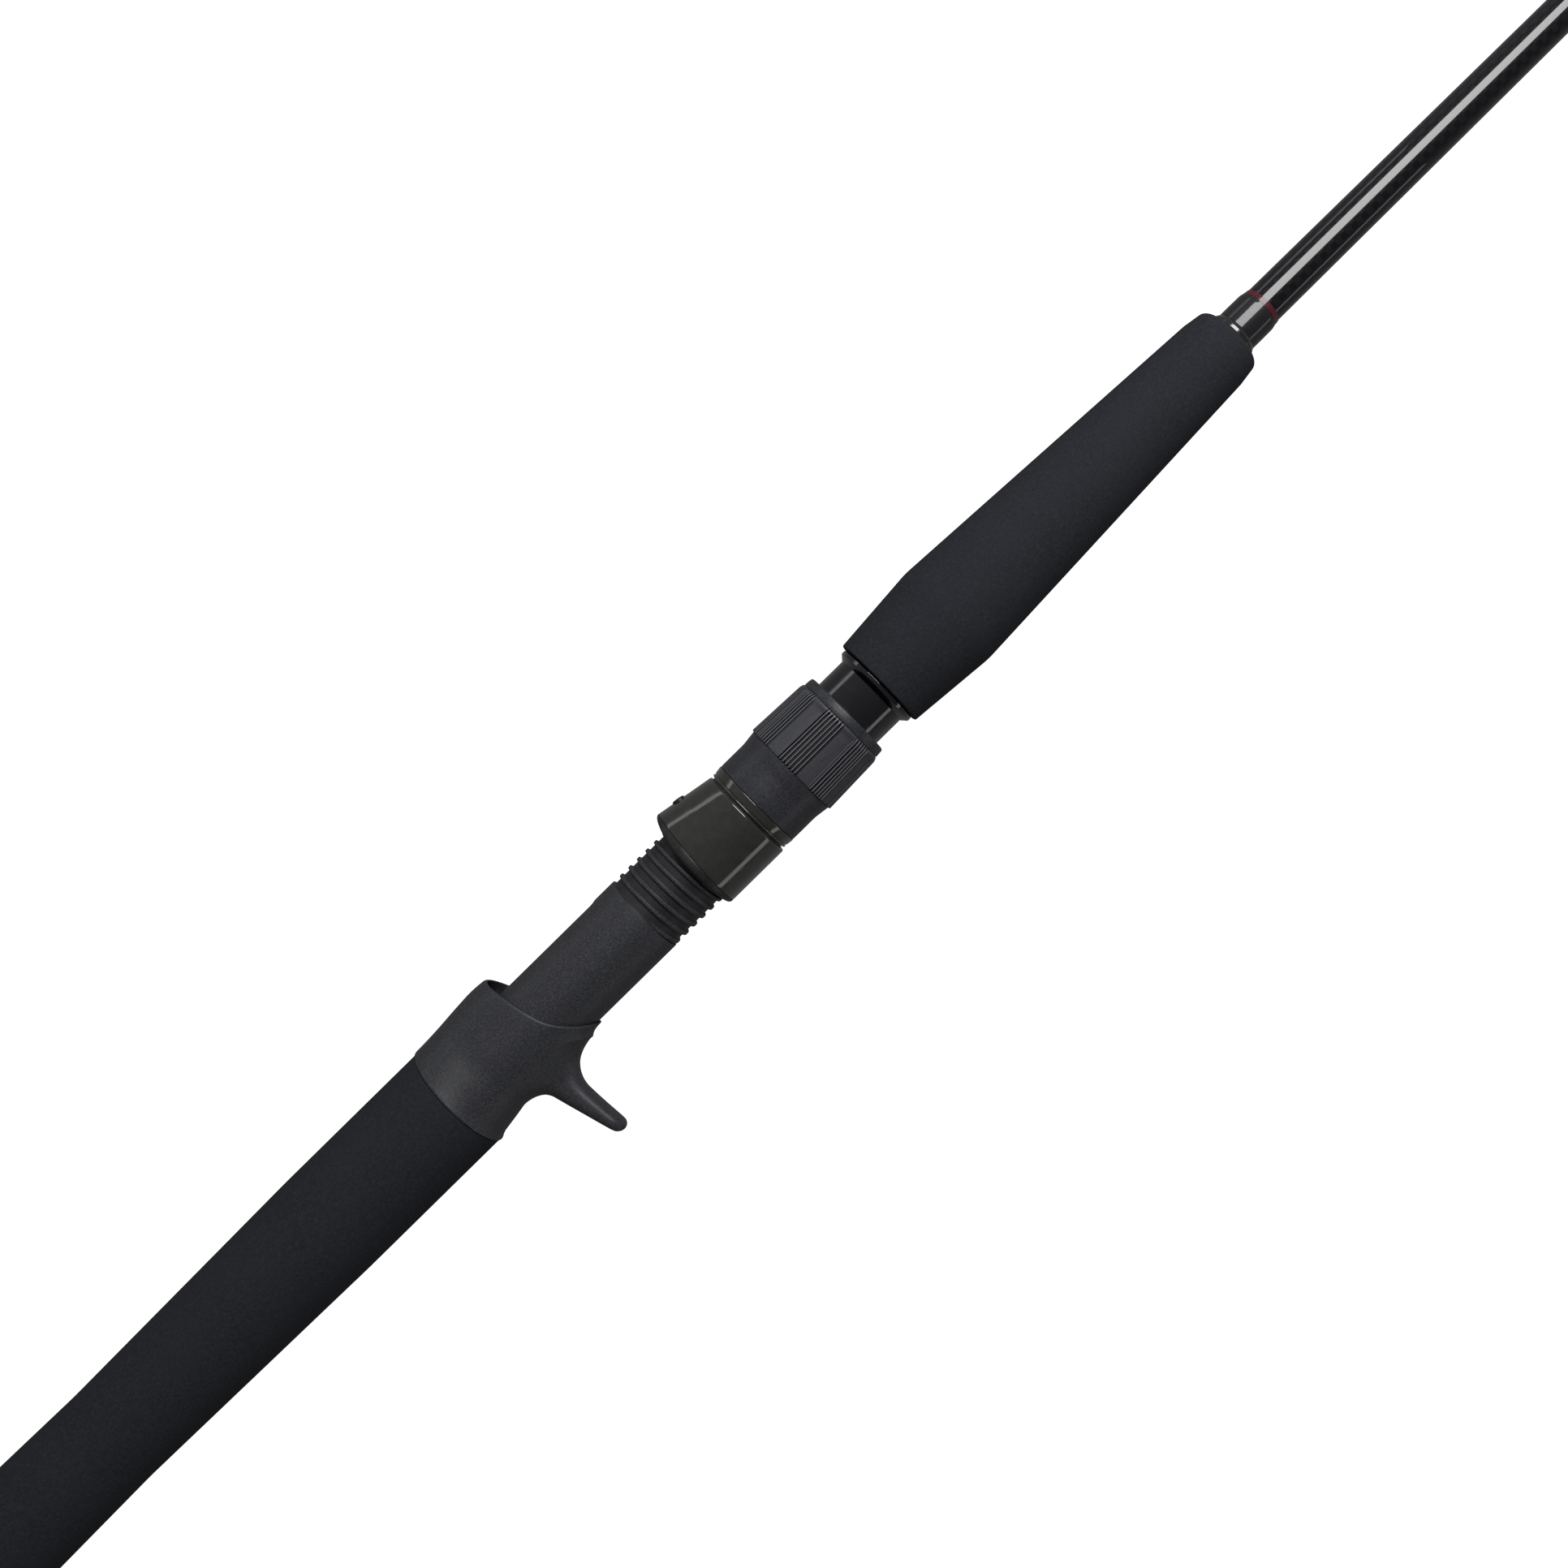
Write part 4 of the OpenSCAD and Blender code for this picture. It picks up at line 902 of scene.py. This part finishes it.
def hood_rings(path):
    """Rings from a path of (edge, distance, inset): a point lies at a distance in front of
    the lip's edge, the shell's rear edge or the front edge, drawn in from the outside."""
    edges = {"lip": lip_edge, "shell": shell_edge, "front": lambda y: HOOD_FRONT}

    def place(a):
        x = edges[edge](0) + distance
        for _ in range(3):
            r = hood_radius(x, a) - inset
            x = edges[edge](r * math.cos(a)) + distance
        return x, r

    rings = []
    for edge, distance, inset in path:
        rings.append(ring(HOOD_STEPS, place))
    return rings


def bead(edge, inset, radius, quarter, steps=5):
    """A quarter-round of a hood path. quarter is 'out_rear', 'out_front' or 'in_front'."""
    points = []
    for k in range(steps + 1):
        a = math.pi / 2 * k / steps
        s, c = radius * (1 - math.sin(a)), radius * (1 - math.cos(a))
        points.append({"out_rear": (edge, s, inset + c), "out_front": (edge, -c, inset + s),
                       "in_front": (edge, -s, inset - c)}[quarter])
    return points


def hood_shell():
    """The gloss shell, by a path over its front edge, back inside and round its rear edge."""
    inside = SHELL_WALL
    path = [("front", -8, 0), ("front", -5, 0), ("front", -2, 0), ("front", -1, 0)]
    path += bead("front", 0, 0.42, "out_front")[::-1]
    path += bead("front", inside, 0.15, "in_front", 2)[::-1]
    path += [("front", -3, inside), ("front", -8, inside), ("shell", 4, inside),
             ("shell", 0, inside)]
    path += [("shell", 0, 0.22), ("shell", 0.06, 0.08), ("shell", 0.22, 0)]
    path += [("shell", 1, 0), ("shell", 2.5, 0), ("shell", 4.5, 0), ("shell", 7, 0)]
    make("hood_shell_gloss", *skin(hood_rings(path)), HOOD_GLOSS, "hood", "hood_shell", sharp=40)


def liner_bore(x, a):
    """Radius of the liner's inside: a thin wall under the shell, clear of the thread."""
    liner_wall = 0.75
    return max(RUNNING_R, hood_radius(x, a) - SHELL_WALL - GLUE - liner_wall)


def hood_liner():
    """The liner: a thin tube inside the shell whose rounded lip stands out behind it."""
    lip_r = 0.85
    wall = SHELL_WALL + GLUE
    path = [("shell", -0.05, wall), ("shell", -0.05, 0.12), ("shell", -0.12, 0.03),
            ("shell", -0.25, 0.0)]
    path += bead("lip", 0.0, lip_r, "out_rear", 6)

    def inside(a):
        x = LIP_X + 0.4
        for _ in range(3):
            r = liner_bore(x, a)
            x = min(lip_edge(r * math.cos(a)) + distance, LINER_END - 0.2)
        return x, r

    rings = hood_rings(path)
    for distance in (0.0, 0.3, 3, 6, 9):
        rings.append(ring(HOOD_STEPS, inside))
    rings.append(ring(HOOD_STEPS, lambda a: (LINER_END, liner_bore(LINER_END, a))))
    rings.append(ring(HOOD_STEPS, lambda a: (LINER_END, hood_radius(LINER_END, a) - wall)))
    body = skin(rings)
    make("hood_liner_lip", *joined([body, stud()]), LINER_PLASTIC, "hood", "hood_liner", sharp=40)


def stud():
    """The round peg that shows through the shell's top, square to its slope."""
    x, turned = HOOD_FRONT - 9.9, 6 * RAD
    slope = math.atan(HOOD_SLOPE)
    side = np.array((math.cos(slope), -math.sin(slope), 0))
    normal = np.array((math.sin(slope), math.cos(slope) * math.cos(turned), math.sin(turned)))
    up = np.cross(side, normal)
    reach = hood_radius(x, turned)
    foot = np.array((x, reach * math.cos(turned), reach * math.sin(turned)))
    angles = [2 * math.pi * k / 48 for k in range(48)]
    rings = []
    for height, r in ((-1.3, 1.7), (0.1, 1.7), (0.3, 1.66), (0.41, 1.52), (0.45, 1.3),
                      (0.4, 0.9), (0.4, 0.02)):
        rings.append([tuple(foot + normal * height + side * r * math.cos(a) + up * r * math.sin(a))
                      for a in angles])
    return skin(rings, close_rings=False, caps=True)


# ---- lock nut


def slip_ring():
    """The gloss ring behind the nut's neck, with a fine groove near its rear edge."""
    r = 13.0
    outline = rounded([
        (RING_BACK, 12.05, 0), (RING_BACK, r - 0.45, 0.15), (RING_BACK + 0.35, r - 0.2, 0.15),
        (RING_BACK + 0.7, r - 0.42, 0.05), (RING_BACK + 0.75, r - 0.6, 0.03),
        (RING_BACK + 0.88, r - 0.6, 0.03), (RING_BACK + 0.92, r - 0.28, 0.12),
        (NECK_X - 0.35, r - 0.02, 0.1), (NECK_X, r - 0.02, 0.3), (NECK_X, 12.05, 0)], 4)
    make("slip_ring_gloss", *turn(outline, 160), HOOD_GLOSS, "nut", "slip_ring")


def lock_nut():
    """The nut's nose, smooth neck, core for the ribbed sleeve and rounded shoulder."""
    nose_r, neck_r, core_r = 12.0, 12.9, 12.35
    neck, sleeve_rear, shoulder = NECK_X + GLUE, SLEEVE_X - GLUE, SHOULDER_X + GLUE
    outline = rounded([
        (NOSE_X, RUNNING_R, 0), (NOSE_X, nose_r, 0.15), (neck, nose_r, 0), (neck, neck_r, 0.25),
        (SLEEVE_X - 4, neck_r, 14), (sleeve_rear, 13.4, 0.1), (sleeve_rear, core_r, 0),
        (shoulder, core_r, 0), (shoulder, 12.8, 0.1), (SHOULDER_X + 0.8, 12.78, 0.5),
        (NUT_END, 12.6, 1.1), (NUT_END, RUNNING_R, 0.25), (NUT_END - 3, RUNNING_R, 0)])
    make("lock_nut_shell", *turn(along(outline), 160), NUT_PLASTIC, "nut", "lock_nut")


def nut_grip():
    """The ribbed sleeve: groups of six fine ribs, with smooth sunk panels between them."""
    rear_r, front_r, inner_r = 13.93, 13.3, 12.4
    rib_depth, panel_depth = 0.62, 0.4
    rear_edge, front_edge = 0.3, 0.5
    length = SHOULDER_X - SLEEVE_X
    steps = 1440

    def relief(a, u):
        """How far the surface is cut in at an angle, u mm from the rear end."""
        degrees = (a / RAD - RIB_FIRST) % (360 / RIB_GROUPS)
        off = min(degrees, 360 / RIB_GROUPS - degrees)
        signed = degrees if degrees < 180 / RIB_GROUPS else degrees - 360 / RIB_GROUPS
        from_front = length - u
        if off < RIB_HALF_GROUP:
            phase = (signed + RIB_HALF_GROUP) / RIB_PITCH % 1
            down = clamp((abs(2 * phase - 1) - 0.22) / 0.5)
            groove_end = clamp((from_front - 0.5) / 0.5)
            return rib_depth * smooth(down) * groove_end + 0.25 * (1 - groove_end)
        edge = min(1, (off - RIB_HALF_GROUP) / 1.3)
        runout = clamp((from_front - 0.9) / 0.9)
        return panel_depth * smooth(edge) * runout + 0.1 * (1 - runout)

    def outside(a):
        """The cone, less the relief and the rounded edges, at u mm from the rear end."""
        cone = rear_r + (front_r - rear_r) * u / length
        rear_round = float(fillet(u, rear_edge))
        front_round = float(fillet(length - u, front_edge))
        return SLEEVE_X + u, cone - relief(a, u) - rear_round - front_round

    rings = [ring(steps, lambda a: (SLEEVE_X, inner_r))]
    near_front = [length - d for d in (1.8, 1.35, 0.9, 0.75, 0.5, 0.3, 0.12, 0)]
    for u in [0, 0.12, 0.35, 1, 3, 6, 9, 12, 15] + near_front:
        rings.append(ring(steps, outside))
    rings.append(ring(steps, lambda a: (SHOULDER_X, inner_r)))
    make("nut_grip_ribs", *skin(rings), GRIP_RUBBER, "nut", "nut_grip", sharp=50)


# ---- blank, check and wraps


def blank():
    """The tapered tube, open at both ends."""
    outside = along(list(zip(BLANK_STATIONS, BLANK_R)), 12)
    bore = list(zip(BLANK_STATIONS, BLANK_BORE_R))[::-1]
    make("blank_tube", *turn(outside + bore, 128), CARBON, "rod", "blank")


def check_and_wraps():
    """The ring in front of the foregrip, the thread under epoxy and the thin red band."""
    check = sleeve([(CHECK_X + GLUE, 6.5, 0), (CHECK_X + 0.6, 6.72, 0.5), (CHECK_X + 1.5, 6.55, 0.6),
                    (WRAP_X - GLUE, 6.12, 0.15), (WRAP_X - GLUE, 5.6, 0)])
    make("winding_check_ring", *check, CHECK_GLOSS, "rod", "winding_check")
    wrap = sleeve([(WRAP_X, 5.55, 0), (WRAP_X, 5.93, 0.3), (WRAP_X + 3, 5.95, 4),
                   (TRIM_X - 1, 5.9, 2), (TRIM_X - GLUE, 5.68, 0)], longest=0.8)
    make("butt_wrap_thread", *wrap, BLACK_THREAD, "rod", "butt_wrap")
    trim = sleeve([(TRIM_X, 5.66, 0), (TRIM_END, 5.45, 0)], longest=0.4)
    make("trim_band_thread", *trim, TRIM_THREAD, "rod", "trim_band")


# ---- guides

HOOP_LEN = 1.8
HOOP_H = 0.98
RING_WALL = 1.6
# How far a foot reaches back under the loop of its legs
FOOT_HEEL = 1.7


def ceramic_ring(node, name):
    """A polished ring whose bore bulges in towards the line."""
    x, half = extent(node, 0)
    h = extent(node, 1)[0]
    outer = extent(node, 2)[1]
    inner = outer - RING_WALL + GLUE
    outline = rounded([(x, outer, 0), (x + half, outer, 0.5), (x + half, inner, 1.15), (x, inner, 0),
                       (x - half, inner, 1.15), (x - half, outer, 0.5), (x, outer, 0)], 8)[:-1]
    make(name, *turn(outline, 96, centre=h), CERAMIC, "rod", node)
    return x, h, outer


def hoop(x, h, ring_r):
    """The rounded metal hoop round a ring."""
    inner, outer = ring_r + GLUE, ring_r + HOOP_H
    rear, front = x - HOOP_LEN / 2, x + HOOP_LEN / 2
    outline = rounded([(x, inner, 0), (front, inner, 0.15), (front, outer, 0.55),
                       (rear, outer, 0.55), (rear, inner, 0.15), (x, inner, 0)], 5)[:-1]
    return turn(outline, 96, centre=h)


def foot_plate(root_x, side, length):
    """A guide foot: a flattened strip that hugs the blank and thins towards its end."""
    # Half of the strip's section, as (share of its half width, share of its height)
    crown_side = ((0.4, 1), (0.8, 0.88), (1, 0.55), (1, 0), (0.5, 0))
    section = [(-z, up) for z, up in crown_side[-2::-1]] + [(0, 1.02)] + list(crown_side)
    section += [(0, 0), (-0.5, 0)]
    count = 18
    rings = []
    for i in range(count):
        t = i / (count - 1)
        x = root_x - side * FOOT_HEEL + side * (length + FOOT_HEEL) * t
        base = blank_r(x)
        ease = max(0, (t - 0.25) / 0.75)
        height = 1.0 - 0.68 * ease ** 1.2
        half = 1.6 * math.sqrt(max(1 - max(0, (t - 0.9) / 0.1) ** 2 * 0.75, 0.05))
        corners = []
        for share, up in section:
            z = share * half
            under = math.sqrt(base ** 2 - z * z) + 0.04 if base > abs(z) else 0.04
            crown = base - 0.05 + height
            y = under if up == 0 else max(under + 0.12, under + (crown - under) * up)
            corners.append((x, y, z))
        rings.append(corners)
    return skin(rings, close_rings=False, caps=True)


def leg(root, top, hand, bow):
    """One leg: a slightly bowed bar, thicker at its foot."""
    middle = [(a + b) / 2 for a, b in zip(root, top)]
    middle[2] += hand * bow
    middle[1] -= bow * 0.6
    count = 12
    points = bend([root, middle, top], count)
    radii = [0.84 - 0.16 * math.sin(math.pi * min(1, k / (count - 1) * 1.2) / 2)
             for k in range(count)]
    return bar_along(points, radii, 0.8)


def guide(i):
    """One line guide: its ceramic ring, the metal frame on two feet, and the feet's wraps."""
    x, h, ring_r = ceramic_ring(f"guide_{i}_ring", f"guide_{i}_ring_ceramic")
    diameter = 2 * (ring_r + GLUE)
    reach = diameter * 0.55 + 2
    length = extent(f"guide_{i}_frame", 0)[1] - reach
    mid_r = ring_r + GLUE + 0.5
    spread = 52 * RAD
    parts = [hoop(x, h, ring_r)]
    for side in (-1, 1):
        root_x = x + side * reach
        parts.append(foot_plate(root_x, side, length))
        for hand in (-1, 1):
            root = [root_x, blank_r(root_x) + 0.55, hand * 0.62]
            top = [x + side * 0.2, h - mid_r * math.cos(spread), hand * mid_r * math.sin(spread)]
            parts.append(leg(root, top, hand, 0.05 * diameter))
    make(f"guide_{i}_frame_metal", *joined(parts), METAL, "rod", f"guide_{i}_frame", sharp=45)
    wraps = joined([foot_wrap(x + side * reach, side, length) for side in (-1, 1)])
    make(f"guide_{i}_wraps_thread", *wraps, BLACK_THREAD, "rod", f"guide_{i}_wraps", sharp=60)


def dome(t):
    """The height of a wrap over its length: flat on top, rounded at both ends."""
    return math.sqrt(max(1 - (2 * t - 1) ** 4, 0))


def foot_wrap(root_x, side, length):
    """Thread and epoxy over a foot: round on the blank, bulged where the foot lies in it."""
    start = root_x + side * 2.04
    end = root_x + side * (length + 5)
    count, steps = 40, 72

    def outside(a):
        t = i / (count - 1)
        x = start + (end - start) * t
        over = dome(t)
        past_foot = max(0, (abs(x - root_x) - 0.25 * length) / (0.8 * length))
        under_foot = max(0.0, 1 - past_foot ** 1.4)
        lump = math.exp(-(math.atan2(math.sin(a), math.cos(a)) / 0.5) ** 2)
        bulge = 0.92 * lump * under_foot * (0.35 + 0.65 * over)
        return x, blank_r(x) + 0.06 + 0.38 * over + bulge

    rings = []
    for i in range(count):
        rings.append(ring(steps, outside))
    for x in (end, start):
        rings.append(ring(steps, lambda a: (x, blank_r(x) + 0.02)))
    return skin(rings)


def tip_top():
    """The tip-top: a capped tube on the blank's end, a ring on two struts, and its wrap."""
    x, h, ring_r = ceramic_ring("tip_ring", "tip_ring_ceramic")
    tube_x = ends("tip_frame")[0]
    tube_end = TIP_X + 1
    tube_r = blank_r(tube_x) + 0.5
    tube = turn(along(rounded([
        (tube_x, blank_r(tube_x) + 0.06, 0), (tube_x, tube_r, 0.15), (tube_end - 2, tube_r, 1.5),
        (tube_end, tube_r * 0.6, 0.5), (tube_end, 0.001, 0), (TIP_X + 0.3, 0.001, 0),
        (TIP_X + 0.3, 1.3, 0)]), 3), 64)
    parts = [tube, hoop(x, h, ring_r)]
    mid_r = ring_r + GLUE + 0.5
    for hand in (-1, 1):
        root = [TIP_X - 2, tube_r * 0.5, hand * tube_r * 0.45]
        top = [x - 0.1, h - mid_r * math.cos(50 * RAD), hand * mid_r * math.sin(50 * RAD)]
        middle = [root[0] * 0.4 + top[0] * 0.6, root[1] + 0.9, hand * mid_r * 0.55]
        radii = [0.72 - 0.02 * k for k in range(14)]
        parts.append(bar_along(bend([root, middle, top], len(radii)), radii, 0.85))
    make("tip_frame_metal", *joined(parts), METAL, "rod", "tip_frame", sharp=45)
    first, last = ends("tip_wrap")
    count = 24
    outline = []
    for i in range(count):
        t = i / (count - 1)
        s = first + (last - first) * t
        outline.append((s, blank_r(s) + 0.06 + 0.36 * dome(t)))
    outline += [(last, blank_r(last) + 0.02), (first, blank_r(first) + 0.02)]
    wrap = turn(outline, 64)
    make("tip_wrap_thread", *wrap, BLACK_THREAD, "rod", "tip_wrap")


# ---- the object

butt_cap()
rear_grip()
foregrip()
reel_seat()
seat_thread()
front_barrel()
hood_shell()
hood_liner()
slip_ring()
lock_nut()
nut_grip()
blank()
check_and_wraps()
for number in range(1, GUIDES + 1):
    guide(number)
tip_top()

for node, finish in (("arbor_rear", ARBOR_FOAM), ("arbor_middle", ARBOR_FOAM),
                     ("arbor_front", ARBOR_FOAM), ("nut_thread", NUT_PLASTIC)):
    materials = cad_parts[node].data.materials
    materials.clear()
    materials.append(finish)

# ---- floor, light and camera


def floor():
    """A wide sheet that the rod's lowest point rests on."""
    half, cells = 9.0, 24
    middle, level = cad_high[0] / 2, cad_low[2] - 0.0002
    row = cells + 1
    verts = [(middle + half * (2 * i / cells - 1), half * (2 * j / cells - 1), level)
             for j in range(row) for i in range(row)]
    corners = [j * row + i for j in range(cells) for i in range(cells)]
    faces = [(k, k + 1, k + row + 1, k + row) for k in corners]
    mesh = bpy.data.meshes.new("floor")
    mesh.from_pydata(verts, [], faces)
    mesh.materials.append(floor_finish())
    sheet = bpy.data.objects.new("floor", mesh)
    bpy.context.scene.collection.objects.link(sheet)


def softbox(name, place, aim, size, power):
    """A rectangular light at a place, turned to face a point."""
    data = bpy.data.lights.new(name, "AREA")
    data.shape = "RECTANGLE"
    data.size, data.size_y = size
    data.energy = power
    lamp = bpy.data.objects.new(name, data)
    lamp.visible_camera = False
    lamp.location = place
    lamp.rotation_euler = (Vector(aim) - Vector(place)).to_track_quat("-Z", "Y").to_euler()
    bpy.context.scene.collection.objects.link(lamp)


def studio():
    """A world that is brighter below, a window over the blank and a low strip each side."""
    world = bpy.data.worlds.new("room")
    world.use_nodes = True
    nodes, links = world.node_tree.nodes, world.node_tree.links
    place = nodes.new("ShaderNodeTexCoord").outputs["Generated"]
    parts = nodes.new("ShaderNodeSeparateXYZ")
    links.new(place, parts.inputs[0])
    ramp = nodes.new("ShaderNodeValToRGB")
    marks = ramp.color_ramp.elements
    marks.new(0.5)
    for mark, (position, level) in zip(marks, ((0.0, 0.36), (0.22, 0.23), (1.0, 0.2))):
        mark.position = position
        mark.color = (level, level, level * 1.02, 1)
    links.new(parts.outputs[2], ramp.inputs[0])
    links.new(ramp.outputs[0], nodes["Background"].inputs["Color"])
    slant = nodes.new("ShaderNodeMath")
    slant.operation = "MULTIPLY_ADD"
    slant.inputs[1].default_value, slant.inputs[2].default_value = 0.5, 1.0
    links.new(parts.outputs[1], slant.inputs[0])
    links.new(slant.outputs[0], nodes["Background"].inputs["Strength"])
    bpy.context.scene.world = world
    seat = Vector((0.4335, 0, 0))
    under_window = seat + Vector((0.84, 0.4, 0))
    softbox("window", under_window + Vector((0, 0, 1.0)), under_window, (0.92, 0.84), 34)
    # The strips light the flanks of the ribs and the edges of the hood
    for name, side in (("strip_reel_side", 1), ("strip_trigger_side", -1)):
        softbox(name, seat + Vector((0.05, side * 0.5, 0.11)), seat, (0.8, 0.09), 0.35)


def camera():
    """Straight down over the seat, with the rod rising to the right and a small lens shift."""
    data = bpy.data.cameras.new("camera")
    data.sensor_width = 36
    data.lens = 41.0
    data.shift_x, data.shift_y = -0.0222, -0.0218
    data.clip_start, data.clip_end = 0.01, 50
    cam = bpy.data.objects.new("camera", data)
    cam.location = (0.4458, -0.00137, 0.45)
    rod_angle = 44.5 * RAD
    right = Vector((math.cos(rod_angle), -math.sin(rod_angle), 0))
    back = Vector((0, 0, 1))
    up = back.cross(right)
    cam.rotation_euler = Matrix((right, up, back)).transposed().to_euler()
    bpy.context.scene.collection.objects.link(cam)
    bpy.context.scene.camera = cam


camera()
studio()
floor()
bpy.context.scene.view_settings.view_transform = "Standard"
